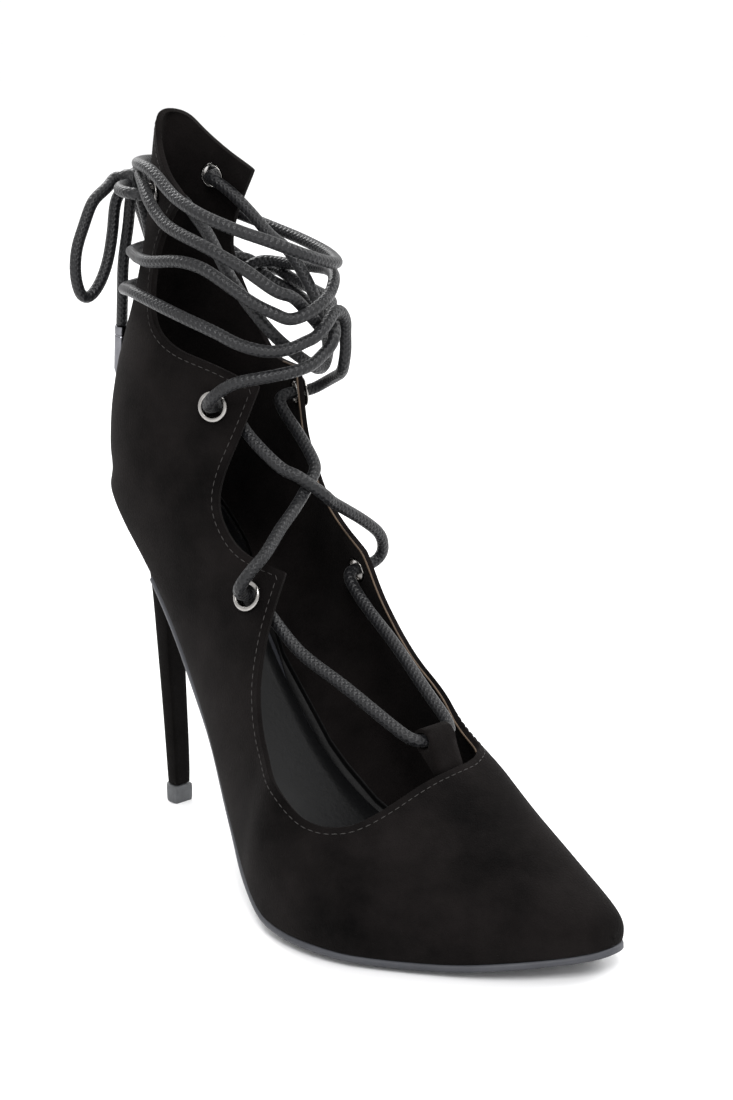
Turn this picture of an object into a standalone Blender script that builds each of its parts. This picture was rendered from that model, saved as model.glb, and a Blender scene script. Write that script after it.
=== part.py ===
"""A woman's lace up stiletto, right shoe: toe toward -Y, the wearer's outer side toward -X."""
import math

import bmesh
import bpy
import numpy as np
from mathutils import Matrix, Vector

# Driving sizes, metres
fore_length = 0.1875       # heel tip's centre to the toe, along the floor
heel_height = 0.112        # floor to the seat's back edge
shaft_height = 0.1165      # seat's back edge to the collar's peak
ball_width = 0.080         # widest place of the forefoot
ball_height = 0.051        # floor to the instep line over the ball
wall = 0.0018              # suede and lining together
sole_thickness = 0.0020
insole_thickness = 0.0024
insole_bevel = 0.0012      # how much narrower the insole is on top
welt = 0.0006              # sole's edge beyond the upper
clearance = 0.0003         # between pieces that meet
tip_height = 0.0062
heel_tip_width = 0.0070
heel_tip_depth = 0.0066
eyelet_outer = 0.0098
eyelet_hole = 0.0066
eyelet_flange = 0.0008
barrel_wall = 0.0005
barrel_end = 0.0004        # barrel's end beyond the wall's inside
wall_sag = 0.0004          # how far the curved wall falls away under a flat flange
cord = 0.0037
aglet_width = 0.0045
aglet_point = 0.0030
aglet_length = 0.0205
aglet_cone = 0.0030
route_unit = 0.001         # the lace's routes are in millimetres
tab_width = 0.0100
tab_thickness = 0.0026
tab_open = math.radians(40)  # how far round the loop closes below its bore
tab_hole = 0.0050
tab_hole_rise = 0.0112
flat_share = 0.26          # how far in from its edge the sole's flat middle starts, of its width
toe_blend = 0.006          # how far back from the toe the sole's edge reaches its full welt
cutter_length = 0.012

# Mesh steps
ruling_spacing = 0.0052
steps_across = 10
toe_crowding = 1.55        # rulings lie closer together toward the toe
sole_rows = 46
seat_rows = 14
eyelet_segments = 20
tab_arc_steps = 12
lace_step = 2.6            # about how far apart a lace's points lie, in its own diameters
merge_distance = 1e-6
aglet_segments = 12

made_materials = {}

# The lace's two halves from the throat tab, through its eyelets and round the ankle to the knot:
# side toward the wearer's inner side, along toward the toe, up
lace_outer_half = [
    (1.0, 120.0, 53.1), (-4.6, 120.0, 53.2), (-8.2, 116.0, 55.4),
    (-12.4, 96.0, 65.8), (-15.8, 81.4, 73.0), (-17.4, 72.4, 80.2), (-18.4, 64.5, 87.4),
    (-23.5, 65.6, 89.4),
    (-27.1, 66.4, 90.8), (-29.6, 68.9, 93.8), (-27.2, 71.8, 99.2), (-22.5, 72.5, 103.2),
    (-14.0, 69.8, 109.0), (-6.0, 68.2, 114.4), (0.0, 67.0, 118.6), (6.0, 63.5, 123.4),
    (9.2, 53.0, 131.0), (10.2, 44.6, 137.2), (12.0, 40.2, 141.2), (18.2, 42.9, 142.4),
    (21.8, 44.6, 142.9), (23.4, 49.0, 145.6), (22.4, 54.6, 148.2), (20.4, 59.6, 150.4),
    (18.8, 62.4, 154.0), (18.8, 63.2, 158.8), (17.8, 63.3, 163.4), (14.6, 64.4, 168.4),
    (10.3, 66.3, 170.2), (3.3, 68.3, 166.9), (-4.1, 67.2, 162.3), (-11.3, 63.0, 160.8),
    (-17.3, 56.0, 162.7), (-20.4, 50.2, 165.6), (-23.8, 39.6, 169.2), (-24.9, 31.1, 171.4),
    (-24.7, 20.8, 173.5), (-22.5, 11.5, 174.4), (-17.8, 2.6, 173.6), (-12.4, -5.4, 172.4),
    (-6.4, -10.9, 172.0), (1.0, -13.2, 172.4), (9.0, -10.2, 174.0), (17.0, -1.0, 176.0),
    (23.0, 12.0, 178.0), (26.0, 27.0, 179.6), (25.0, 42.0, 180.4), (21.0, 54.0, 180.8),
    (12.0, 65.4, 179.6), (7.2, 67.5, 175.3), (-1.5, 67.9, 172.2), (-8.7, 65.0, 171.7),
    (-14.1, 60.2, 174.6), (-18.9, 53.3, 180.0), (-22.1, 45.9, 184.5), (-24.2, 37.0, 186.0),
    (-25.0, 25.0, 184.8), (-21.3, 14.0, 184.6), (-15.9, 4.0, 185.0), (-11.0, -2.8, 184.2),
    (-5.0, -8.0, 184.0), (1.0, -10.0, 184.4), (9.0, -7.4, 184.6), (17.0, 1.0, 183.0),
    (23.5, 13.0, 179.0), (26.8, 28.0, 173.2), (25.8, 42.0, 166.0), (20.5, 53.4, 158.4),
    (11.2, 60.6, 152.8), (2.4, 62.3, 156.8), (-5.6, 60.2, 163.4), (-10.2, 56.4, 170.2),
    (-12.4, 51.0, 177.0), (-12.4, 44.4, 183.4), (-11.0, 34.5, 193.0), (-9.0, 24.2, 199.0),
    (-6.4, 17.0, 201.4), (-6.8, 11.4, 201.9), (-11.5, 9.8, 202.4), (-15.3, 8.5, 202.8),
    (-17.4, 4.6, 203.2), (-15.2, -2.4, 203.4), (-10.8, -8.0, 203.6), (-7.2, -10.8, 203.6),
]
lace_inner_half = [
    (1.0, 120.0, 53.1), (6.6, 120.0, 53.2), (9.8, 116.0, 55.2),
    (11.0, 106.0, 61.8), (13.4, 90.0, 72.2), (15.4, 74.6, 81.0), (17.6, 65.0, 88.2),
    (22.8, 65.6, 89.4),
    (26.6, 66.3, 90.2), (29.2, 68.2, 93.2), (26.8, 70.0, 99.8), (19.4, 70.4, 105.8),
    (9.0, 69.9, 112.4), (0.0, 67.0, 118.6), (-6.4, 60.4, 125.4), (-8.8, 51.0, 132.6),
    (-8.6, 43.6, 138.2), (-10.8, 40.0, 141.4), (-16.7, 42.9, 142.4), (-20.3, 44.7, 142.9),
    (-22.0, 48.0, 146.0),
    (-18.6, 54.2, 151.0), (-13.1, 61.3, 153.1), (-5.9, 66.5, 154.7), (0.8, 68.3, 156.5),
    (6.0, 67.8, 160.3), (9.4, 66.6, 165.4), (14.0, 62.6, 169.6), (20.0, 54.0, 172.0),
    (24.6, 42.0, 173.4), (26.4, 28.0, 175.0), (24.2, 13.0, 178.6), (18.4, 0.6, 185.6),
    (10.4, -6.6, 194.4), (2.4, -8.6, 202.0), (-4.4, -5.4, 207.2), (-9.8, 1.2, 208.2),
    (-15.0, 9.0, 206.6), (-19.4, 17.4, 202.3), (-21.2, 24.4, 197.9), (-22.4, 32.4, 194.8),
    (-21.6, 47.3, 190.7), (-16.4, 57.3, 185.1), (-10.5, 63.6, 179.0), (-3.4, 67.3, 174.3),
    (5.6, 67.2, 167.9), (12.4, 63.4, 164.6), (17.2, 56.4, 166.4), (17.4, 49.4, 175.0),
    (15.2, 41.0, 186.4), (14.0, 34.8, 189.9), (12.6, 26.9, 196.6), (10.4, 20.4, 202.4),
    (8.6, 14.6, 206.0), (8.9, 11.0, 206.6), (12.7, 9.8, 207.1), (16.5, 8.5, 207.6),
    (18.4, 4.8, 208.2), (15.0, -1.4, 209.4), (8.0, -6.4, 210.6), (0.0, -7.6, 211.2),
    (-6.4, -3.6, 210.8), (-12.4, 3.6, 211.4), (-18.2, 12.6, 212.2), (-20.6, 21.5, 210.8),
    (-22.4, 32.0, 205.4), (-23.0, 39.8, 202.4), (-21.5, 47.5, 199.4), (-17.0, 56.4, 196.0),
    (-11.0, 63.2, 193.0), (-2.7, 67.7, 189.2), (5.3, 67.6, 186.5), (12.8, 65.0, 184.9),
    (18.6, 58.6, 184.8), (23.2, 49.0, 186.0), (25.6, 35.0, 188.4), (24.6, 20.0, 191.6),
    (20.5, 7.0, 195.4), (14.2, -4.8, 199.4), (8.8, -9.6, 201.8),
    (4.0, -12.0, 203.2),
]
# The bow behind the ankle
knot_place = (-1.6, -13.4, 203.6)
knot_halves = (1.30, 1.10, 1.25)     # half its size each way, in the cord's diameters
bow_routes = {
    "loop_outer": [
        (-4.8, -18.2, 206.2), (-7.2, -17.6, 203.8), (-10.6, -17.0, 201.8), (-15.0, -17.0, 198.7),
        (-18.8, -17.0, 191.2), (-22.1, -16.5, 184.3), (-23.2, -16.0, 176.6), (-21.4, -16.0, 170.0),
        (-18.7, -16.0, 168.8), (-14.5, -16.0, 172.3), (-10.3, -16.6, 179.2), (-7.2, -17.6, 188.3),
        (-5.2, -18.6, 196.4), (-3.4, -18.2, 200.8),
    ],
    "loop_inner": [
        (1.4, -17.8, 205.9), (7.0, -18.6, 207.0), (12.6, -17.6, 203.4), (17.4, -16.2, 194.4),
        (20.2, -15.6, 184.0), (19.6, -16.2, 175.8), (16.0, -18.0, 172.2), (12.6, -19.6, 177.0),
        (9.8, -20.2, 185.2), (6.6, -20.2, 194.2), (2.8, -18.8, 200.6),
    ],
    "end_outer": [
        (-2.0, -14.6, 198.6), (-3.0, -14.8, 190.6), (-4.4, -16.0, 179.2), (-4.2, -17.2, 168.6),
        (-3.6, -18.8, 158.6),
    ],
    "end_inner": [
        (2.2, -14.6, 199.1), (4.8, -14.8, 191.2), (7.2, -15.2, 179.6), (8.0, -17.0, 169.6),
        (8.2, -19.8, 161.0), (8.2, -21.4, 155.0),
    ],
}

# Pivot of the fan of sections: upright over the forefoot, level round the ankle
pivot_along = 0.602 * fore_length
pivot_up = heel_height + 0.326 * shaft_height

# Feather line, where upper meets sole: along in fore_length, up from the ball (0) to the seat's
# back (1), sides in ball_width, the inner side's extra rise in heel_height, and how much lower
# the sole lies in the middle than at its edges in ball_height
feather = np.array([
    # along    up     outer  inner   arch   crown
    [1.000, 0.0640, 0.034, 0.054, 0.000, 0.000],
    [0.997, 0.0620, -0.006, 0.088, 0.000, 0.000],
    [0.990, 0.0590, -0.040, 0.118, 0.000, 0.000],
    [0.972, 0.0530, -0.104, 0.154, 0.000, 0.000],
    [0.940, 0.0440, -0.186, 0.186, 0.000, 0.000],
    [0.900, 0.0330, -0.272, 0.214, 0.000, 0.002],
    [0.838, 0.0190, -0.382, 0.248, 0.000, 0.006],
    [0.759, 0.0150, -0.505, 0.280, 0.000, 0.020],
    [0.690, 0.0191, -0.596, 0.298, 0.000, 0.041],
    [0.602, 0.0237, -0.630, 0.302, 0.000, 0.051],
    [0.550, 0.0277, -0.618, 0.288, 0.002, 0.051],
    [0.455, 0.0708, -0.527, 0.206, 0.028, 0.039],
    [0.350, 0.1790, -0.390, 0.120, 0.085, 0.020],
    [0.242, 0.3980, -0.290, 0.085, 0.110, 0.006],
    [0.135, 0.6560, -0.262, 0.160, 0.055, 0.000],
    [0.075, 0.7801, -0.256, 0.246, 0.000, 0.000],
    [0.021, 0.8675, -0.246, 0.244, 0.000, 0.000],
    [-0.021, 0.9250, -0.218, 0.220, 0.000, 0.000],
    [-0.058, 0.9692, -0.156, 0.164, 0.000, 0.000],
    [-0.078, 0.9928, -0.079, 0.083, 0.000, 0.000],
    [-0.084, 1.0000, 0.000, 0.000, 0.000, 0.000],
])

# Back seam from the seat to the peak: share of shaft_height, share of fore_length
back_seam = np.array([
    # up     along
    [0.000, -0.0840],
    [0.086, -0.0925],
    [0.155, -0.0925],
    [0.240, -0.0865],
    [0.326, -0.0750],
    [0.412, -0.0610],
    [0.498, -0.0465],
    [0.584, -0.0350],
    [0.670, -0.0245],
    [0.755, -0.0180],
    [0.841, -0.0105],
    [0.927, -0.0030],
    [1.000, 0.0060],
])

# Sections over the forefoot: line of the instep, widths, and how square the shoulders are.
# along in fore_length, ridge in ball_height, the sides in ball_width; full is how far down the
# section has its whole width, outer and inner are the roundness of its shoulders
forefoot = np.array([
    # along   ridge  middle  wide_out wide_in full  outer inner
    [1.000, 0.215, 0.044, 0.034, 0.054, 0.60, 2.0, 2.0],
    [0.997, 0.265, 0.044, -0.014, 0.096, 0.62, 2.0, 2.0],
    [0.990, 0.310, 0.043, -0.048, 0.128, 0.64, 2.0, 2.0],
    [0.972, 0.365, 0.042, -0.114, 0.164, 0.68, 2.0, 2.0],
    [0.940, 0.425, 0.043, -0.200, 0.200, 0.72, 2.0, 2.1],
    [0.900, 0.494, 0.048, -0.286, 0.232, 0.74, 2.0, 2.2],
    [0.838, 0.608, 0.060, -0.396, 0.272, 0.76, 2.0, 2.3],
    [0.759, 0.755, 0.078, -0.519, 0.312, 0.78, 2.0, 2.4],
    [0.690, 0.912, 0.092, -0.608, 0.340, 0.80, 2.0, 2.5],
    [0.602, 1.080, 0.098, -0.642, 0.362, 0.82, 2.0, 2.6],
])

# Sections of the fan, by the angle from upright. The reach is a share of a reach that goes from
# the ball's to the ankle's with the angle; the sides in ball_width
fan = np.array([
    # angle  reach  middle  wide_out wide_in full  outer inner
    [7.5, 0.858, 0.090, -0.606, 0.362, 0.80, 2.1, 2.6],
    [15.0, 0.783, 0.070, -0.500, 0.350, 0.78, 2.1, 2.5],
    [30.0, 0.718, 0.030, -0.385, 0.318, 0.70, 2.1, 2.4],
    [45.0, 0.752, 0.006, -0.332, 0.308, 0.66, 1.9, 2.1],
    [60.0, 0.835, 0.000, -0.326, 0.322, 0.62, 1.6, 1.8],
    [75.0, 0.934, 0.002, -0.326, 0.333, 0.60, 1.5, 1.6],
    [90.0, 1.000, 0.005, -0.290, 0.300, 0.58, 1.5, 1.6],
])

ankle_reach = 0.272        # in fore_length, where the fan meets the level sections

# Level sections round the ankle: up in shaft_height, reach in fore_length, sides in ball_width
ankle = np.array([
    # up     reach  middle  wide_out wide_in full  outer inner
    [0.498, 0.310, 0.010, -0.232, 0.254, 0.52, 1.8, 1.9],
    [0.670, 0.330, 0.012, -0.190, 0.216, 0.47, 2.2, 2.2],
    [0.841, 0.340, 0.010, -0.168, 0.188, 0.44, 2.2, 2.2],
    [1.010, 0.346, 0.008, -0.148, 0.164, 0.42, 2.2, 2.2],
])

tab_meets = 0.800          # the first tab's place in the meets column

# Edge of the upper, from the middle of the throat to the peak. up runs 0 to 1 over heel_height
# and 1 to 2 over shaft_height; meets is the place on the feather line (0 toe to 1 seat back) and
# the back seam (1 to 2) that faces the point; a corner breaks the curve
outer_edge = [
    # along   up     meets  corner
    (0.6870, 0.4180, 0.235, 0),
    (0.6862, 0.4080, 0.251, 0),
    (0.6855, 0.3960, 0.268, 0),
    (0.6845, 0.3830, 0.285, 0),
    (0.6820, 0.3690, 0.302, 0),
    (0.6770, 0.3540, 0.318, 0),
    (0.6690, 0.3390, 0.333, 0),
    (0.6560, 0.3260, 0.348, 0),
    (0.6258, 0.3192, 0.364, 0),
    (0.5939, 0.3263, 0.382, 0),
    (0.5646, 0.3504, 0.402, 0),
    (0.5340, 0.3825, 0.424, 0),
    (0.4900, 0.4180, 0.455, 0),
    (0.4535, 0.4615, 0.490, 0),
    (0.4309, 0.5099, 0.530, 0),
    (0.4148, 0.5668, 0.575, 0),
    (0.4058, 0.6377, 0.640, 0),
    (0.4015, 0.7050, 0.700, 0),
    (0.3995, 0.7827, 0.750, 0),
    (0.3962, 0.8667, 0.800, 1),
    (0.3250, 0.9010, 0.868, 0),
    (0.2880, 0.9460, 0.915, 0),
    (0.2610, 1.0130, 0.965, 0),
    (0.2590, 1.1030, 1.010, 0),
    (0.2790, 1.2320, 1.080, 0),
    (0.2920, 1.3180, 1.170, 1),
    (0.2240, 1.3670, 1.250, 0),
    (0.1480, 1.4050, 1.330, 0),
    (0.0960, 1.4600, 1.420, 0),
    (0.0760, 1.5410, 1.510, 0),
    (0.0760, 1.6270, 1.600, 0),
    (0.1060, 1.7220, 1.690, 0),
    (0.1430, 1.7850, 1.760, 1),
    (0.0850, 1.8500, 1.840, 0),
    (0.0430, 1.9280, 1.915, 0),
    (0.0240, 1.9800, 1.968, 0),
    (0.0060, 2.0000, 2.000, 0),
]
inner_edge = [
    # along   up     meets  corner
    (0.6870, 0.4180, 0.235, 0),
    (0.6800, 0.4230, 0.250, 0),
    (0.6720, 0.4255, 0.266, 0),
    (0.6640, 0.4250, 0.281, 0),
    (0.6540, 0.4275, 0.298, 0),
    (0.6440, 0.4320, 0.314, 0),
    (0.6300, 0.4400, 0.330, 0),
    (0.6120, 0.4510, 0.342, 0),
    (0.5900, 0.4660, 0.358, 0),
    (0.5680, 0.4840, 0.376, 0),
    (0.5450, 0.5050, 0.396, 0),
    (0.5200, 0.5310, 0.420, 0),
    (0.4920, 0.5640, 0.452, 0),
    (0.4660, 0.6040, 0.488, 0),
    (0.4440, 0.6480, 0.530, 0),
    (0.4260, 0.6960, 0.580, 0),
    (0.4110, 0.7400, 0.640, 0),
    (0.4020, 0.7780, 0.700, 0),
    (0.3970, 0.8250, 0.750, 0),
    (0.3950, 0.8700, 0.800, 1),
    (0.3360, 0.9100, 0.868, 0),
    (0.2900, 0.9600, 0.915, 0),
    (0.2640, 1.0280, 0.965, 0),
    (0.2530, 1.1100, 1.010, 0),
    (0.2500, 1.2400, 1.080, 0),
    (0.2520, 1.3380, 1.170, 1),
    (0.1950, 1.3330, 1.250, 0),
    (0.1450, 1.3420, 1.330, 0),
    (0.1130, 1.3980, 1.420, 0),
    (0.0900, 1.5000, 1.510, 0),
    (0.0700, 1.6100, 1.600, 0),
    (0.0900, 1.7150, 1.690, 0),
    (0.1420, 1.8380, 1.770, 1),
    (0.0850, 1.8850, 1.860, 0),
    (0.0430, 1.9400, 1.925, 0),
    (0.0240, 1.9830, 1.972, 0),
    (0.0060, 2.0000, 2.000, 0),
]

# Eyelets: along in fore_length, up as in the edge tables
eyelet_places = {
    "low": (0.3500, 0.7980),
    "mid": (0.2290, 1.2610),
    "top": (0.0520, 1.7760),
}
inner_top_rise = 0.040     # how much higher the inner top eyelet sits, in the same shares

# Heel sections between its front and back point: along in fore_length, up in heel_height, the
# half width and its middle in ball_width, seat is 1 where the section has the seat's plan
heel_sections = np.array([
    # front  f_up    back    b_up   half    middle seat
    [0.0160, 0.150, -0.0195, 0.150, 0.0430, 0.000, 0.00],
    [0.0100, 0.300, -0.0275, 0.304, 0.0450, 0.002, 0.00],
    [0.0020, 0.460, -0.0400, 0.470, 0.0490, 0.008, 0.00],
    [-0.0010, 0.590, -0.0510, 0.610, 0.0530, 0.014, 0.00],
    [0.0010, 0.680, -0.0610, 0.715, 0.0620, 0.020, 0.05],
    [0.0090, 0.745, -0.0710, 0.800, 0.0900, 0.022, 0.20],
    [0.0240, 0.785, -0.0785, 0.868, 0.1360, 0.018, 0.50],
    [0.0530, 0.800, -0.0855, 0.934, 0.1930, 0.010, 0.80],
])
heel_outline = np.array([
    # share of depth from the back, shaft half width, seat half width
    [0.00, 0.00, 0.00],
    [0.03, 0.34, 0.31],
    [0.10, 0.60, 0.54],
    [0.22, 0.82, 0.72],
    [0.38, 0.96, 0.87],
    [0.55, 1.00, 0.95],
    [0.72, 1.00, 0.99],
    [0.87, 0.97, 1.00],
    [1.00, 0.90, 1.00],
])
breast_along = 0.088       # where the heel's breast meets the sole, in fore_length

# Throat tab: its foot under the vamp's edge, in fore_length, ball_height and ball_width
tab_along = 0.674 * fore_length
tab_foot_up = 0.862 * ball_height
tab_middle = 0.012 * ball_width
tab_lean = math.radians(36)

materials = {
    "suede": ((0.012, 0.011, 0.011), 0.92, 0.0),
    "heel_suede": ((0.012, 0.011, 0.011), 0.92, 0.0),
    "sole_rubber": ((0.060, 0.062, 0.066), 0.60, 0.0),
    "lining": ((0.010, 0.010, 0.011), 0.55, 0.0),
    "tip_rubber": ((0.050, 0.052, 0.056), 0.65, 0.0),
    "nickel": ((0.62, 0.60, 0.58), 0.25, 1.0),
    "lace_cord": ((0.018, 0.018, 0.020), 0.55, 0.0),
    "gunmetal": ((0.30, 0.30, 0.32), 0.22, 1.0),
}


def smooth_table(table, column, places):
    """A column of a table as a smooth curve that does not overshoot between its rows."""
    order = np.argsort(table[:, 0])
    x, y = table[order, 0], table[order, column]
    step = np.diff(x)
    slope = np.diff(y) / step
    turn = np.zeros(len(x))
    same = slope[:-1] * slope[1:] > 0
    ahead = 2 * step[1:] + step[:-1]
    behind = step[1:] + 2 * step[:-1]
    mean = (ahead + behind) / (ahead / np.where(same, slope[:-1], 1) + behind / np.where(same, slope[1:], 1))
    turn[1:-1] = np.where(same, mean, 0.0)
    turn[0], turn[-1] = slope[0], slope[-1]
    places = np.clip(places, x[0], x[-1])
    k = np.clip(np.searchsorted(x, places, side="right") - 1, 0, len(x) - 2)
    s = (places - x[k]) / step[k]
    return ((1 + 2 * s) * (1 - s) ** 2 * y[k] + s * (1 - s) ** 2 * step[k] * turn[k]
            + s * s * (3 - 2 * s) * y[k + 1] + s * s * (s - 1) * step[k] * turn[k + 1])


def level(share):
    """Height of an edge point: 0 to 1 over the heel, 1 to 2 over the shaft."""
    share = np.asarray(share, float)
    return np.where(share < 1, share * heel_height, heel_height + (share - 1) * shaft_height)


def feather_up(along, outer=True):
    """Height of the line where upper meets sole; under the ball the sole lies flat on the floor."""
    ball_rise = sole_thickness + clearance
    up = ball_rise + (heel_height - ball_rise) * smooth_table(feather, 1, along / fore_length)
    return up if outer else up + heel_height * smooth_table(feather, 4, along / fore_length)


def feather_side(along, outer):
    return ball_width * smooth_table(feather, 2 if outer else 3, along / fore_length)


def seam_along(up):
    return fore_length * smooth_table(back_seam, 1, (up - heel_height) / shaft_height)


seat_back = -0.084 * fore_length
fan_radius = 0.47 * fore_length
run_fore = fore_length - pivot_along
run_fan = run_fore + fan_radius * math.pi / 2
peak_up = heel_height + shaft_height


def section_table():
    """All sections in one table: run along the shoe, front reach from the pivot, sides, roundness."""
    rows = []
    for along, ridge, middle, out, inn, full, r_out, r_in in forefoot:
        sides = [side * ball_width for side in (middle, out, inn)]
        rows.append([fore_length * (1 - along), pivot_up - ridge * ball_height, *sides, full, r_out, r_in])
    ball_reach = pivot_up - forefoot[-1, 1] * ball_height
    for angle, reach, middle, out, inn, full, r_out, r_in in fan:
        sides = [side * ball_width for side in (middle, out, inn)]
        turn = math.radians(angle)
        reach *= ball_reach * math.cos(turn) ** 2 + ankle_reach * fore_length * math.sin(turn) ** 2
        rows.append([run_fore + fan_radius * turn, reach, *sides, full, r_out, r_in])
    for up, reach, middle, out, inn, full, r_out, r_in in ankle:
        sides = [side * ball_width for side in (middle, out, inn)]
        rise = heel_height + up * shaft_height - pivot_up
        rows.append([run_fan + rise, reach * fore_length, *sides, full, r_out, r_in])
    return np.array(rows)


sections = section_table()


def run_and_reach(along, up):
    """Which section a side view point lies in, and how far from the pivot line."""
    ahead, above = along >= pivot_along, up >= pivot_up
    angle = np.arctan2(np.maximum(pivot_along - along, 0), np.maximum(pivot_up - up, 1e-9))
    run = np.where(ahead, fore_length - along, run_fore + fan_radius * angle)
    run = np.where(above & ~ahead, run_fan + up - pivot_up, run)
    reach = np.where(ahead, pivot_up - up, np.hypot(pivot_along - along, pivot_up - up))
    reach = np.where(above & ~ahead, pivot_along - along, reach)
    return run, reach


def ray_point(run, reach):
    """The side view point at a reach along a section."""
    angle = np.clip((run - run_fore) / fan_radius, 0, math.pi / 2)
    start_along = np.where(run < run_fore, fore_length - run, pivot_along)
    start_up = np.where(run > run_fan, pivot_up + run - run_fan, pivot_up)
    return start_along - reach * np.sin(angle), start_up - reach * np.cos(angle)


def far_reach_table(outer):
    """Where each section leaves the shoe on one side, at the feather line or the back seam."""
    runs = np.linspace(0, run_fan + peak_up - pivot_up, 420)
    reaches = np.linspace(0.1, 1.1, 1401) * pivot_up
    along, up = ray_point(runs[:, None], reaches[None, :])
    bottom = up < feather_up(along, outer)
    behind = along < np.where(up > heel_height, seam_along(up), seat_back)
    leaves = bottom | behind
    first = np.argmax(leaves, axis=1)
    return runs, reaches[first]


far_reaches = {outer: far_reach_table(outer) for outer in (True, False)}


def side_of_last(along, up, outer):
    """X of the upper's outside at a side view point, on the wearer's outer or inner side."""
    along, up = np.asarray(along, float), np.asarray(up, float)
    run, reach = run_and_reach(along, up)
    column = [smooth_table(sections, k, run) for k in range(1, 8)]
    front, middle, wide, full = column[0], column[1], column[2 if outer else 3], column[4]
    roundness = column[5 if outer else 6]
    far = np.interp(run, *far_reaches[outer])
    share = np.clip((reach - front) / (far - front), 0, 1)
    end_along, end_up = ray_point(run, far)
    end = np.where(end_up > heel_height, middle, feather_side(end_along, outer))
    front_share = np.clip(share / full, 0, 1)
    back_share = np.clip((share - full) / (1 - full), 0, 1)
    rise = (1 - (1 - front_share) ** roundness) ** (1 / roundness)
    fall = np.sqrt(1 - back_share ** 2)
    return np.where(share < full, middle + (wide - middle) * rise, end + (wide - end) * fall)


def smooth_chain(points, counts):
    """A curve through rows of numbers, with counts[k] steps in stretch k; column 4 marks corners."""
    rows = np.array(points, float)
    values, corner = rows[:, :-1], rows[:, -1] > 0
    pieces = []
    for k in range(len(values) - 1):
        a, b = values[k], values[k + 1]
        before = a - (b - a) if k == 0 or corner[k] else values[k - 1]
        after = b + (b - a) if k + 2 == len(values) or corner[k + 1] else values[k + 2]
        t = np.linspace(0, 1, counts[k], endpoint=False)[:, None]
        pieces.append(0.5 * (2 * a + (b - before) * t + (2 * before - 5 * a + 4 * b - after) * t ** 2
                             + (3 * a - before - 3 * b + after) * t ** 3))
    return np.vstack([*pieces, values[-1:]])


def facing_point(meets, outer):
    """Side view point on one side's feather line (0 to 1) or the back seam (1 to 2)."""
    along = fore_length * (1 - meets) + meets * seat_back
    seam_up = heel_height + (meets - 1) * shaft_height
    on_seam = meets > 1
    return np.where(on_seam, seam_along(seam_up), along), np.where(on_seam, seam_up, feather_up(along, outer))


def side_view(table):
    """An edge table in metres: along, up, meets, corner."""
    return [(along * fore_length, float(level(up)), meets, corner) for along, up, meets, corner in table]


def front_chain(outer, spacing):
    """One side's front line: toe, instep line, throat, tabs and scallops, peak."""
    guide = np.array(side_view(outer_edge))
    lengths = np.hypot(np.diff(guide[:, 0]), np.diff(guide[:, 1]))
    counts = [max(1, round(length / spacing)) for length in lengths]
    edge = smooth_chain(side_view(outer_edge if outer else inner_edge), counts)
    throat_along, throat_meets = edge[0, 0], edge[0, 2]
    # the throat starts on the instep line and eases back to its own heights toward the first tab
    off = ball_height * smooth_table(forefoot, 1, throat_along / fore_length) - edge[0, 1]
    edge[:, 1] += off * np.clip((tab_meets - edge[:, 2]) / (tab_meets - throat_meets), 0, 1)
    steps = round((fore_length - throat_along) / spacing) + 3
    share = np.linspace(0, 1, steps, endpoint=False) ** toe_crowding
    along = fore_length + (throat_along - fore_length) * share
    up = ball_height * smooth_table(forefoot, 1, along / fore_length)
    vamp = np.stack([along, up, throat_meets * share], axis=1)
    return np.vstack([vamp, edge]), steps


def side_sheet(outer, spacing, across):
    """Grid of outside points for one side: each row runs from the front line to the back."""
    chain, vamp_rows = front_chain(outer, spacing)
    back_along, back_up = facing_point(chain[:, 2], outer)
    share = (1 - np.cos(np.linspace(0, math.pi, across + 1))) / 2
    along = chain[:, :1] * (1 - share) + back_along[:, None] * share
    up = chain[:, 1:2] * (1 - share) + back_up[:, None] * share
    return np.stack([side_of_last(along, up, outer), -along, up], axis=2), chain[:, 2], vamp_rows


def shell_sheet(spacing, across):
    """The upper's outside as one open mesh, its sides joined at toe, instep line and back seam."""
    outer, meets, vamp_rows = side_sheet(True, spacing, across)
    inner = side_sheet(False, spacing, across)[0]
    last = len(outer) - 1
    mesh = bmesh.new()
    shared = {}
    grids = []
    for sheet in (outer, inner):
        grid = []
        for i in range(last + 1):
            row = []
            for j in range(across + 1):
                joined = i in (0, last) or (j == 0 and i <= vamp_rows) or (j == across and meets[i] >= 1)
                key = (i, 0 if i == last else j)
                if joined and key not in shared:
                    shared[key] = mesh.verts.new((outer[i, j] + inner[i, j]) / 2)
                row.append(shared[key] if joined else mesh.verts.new(sheet[i, j]))
            grid.append(row)
        grids.append(grid)
    for grid, turn in ((grids[0], -1), (grids[1], 1)):
        for i in range(last):
            for j in range(across):
                corners = [grid[i][j], grid[i][j + 1], grid[i + 1][j + 1], grid[i + 1][j]][::turn]
                distinct = list(dict.fromkeys(corners))
                if len(distinct) > 2:
                    mesh.faces.new(distinct)
    mesh.normal_update()
    return mesh


def material(name):
    colour, roughness, metallic = materials[name]
    made = bpy.data.materials.new(name)
    made.use_nodes = True
    shader = made.node_tree.nodes["Principled BSDF"]
    shader.inputs["Base Color"].default_value = (*colour, 1)
    shader.inputs["Roughness"].default_value = roughness
    shader.inputs["Metallic"].default_value = metallic
    return made


def add_object(name, mesh, material_name, smooth_angle=40):
    data = bpy.data.meshes.new(name)
    mesh.to_mesh(data)
    mesh.free()
    data.materials.append(made_materials[material_name])
    data.shade_smooth()
    data.set_sharp_from_angle(angle=math.radians(smooth_angle))
    thing = bpy.data.objects.new(name, data)
    bpy.context.scene.collection.objects.link(thing)
    return thing


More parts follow.
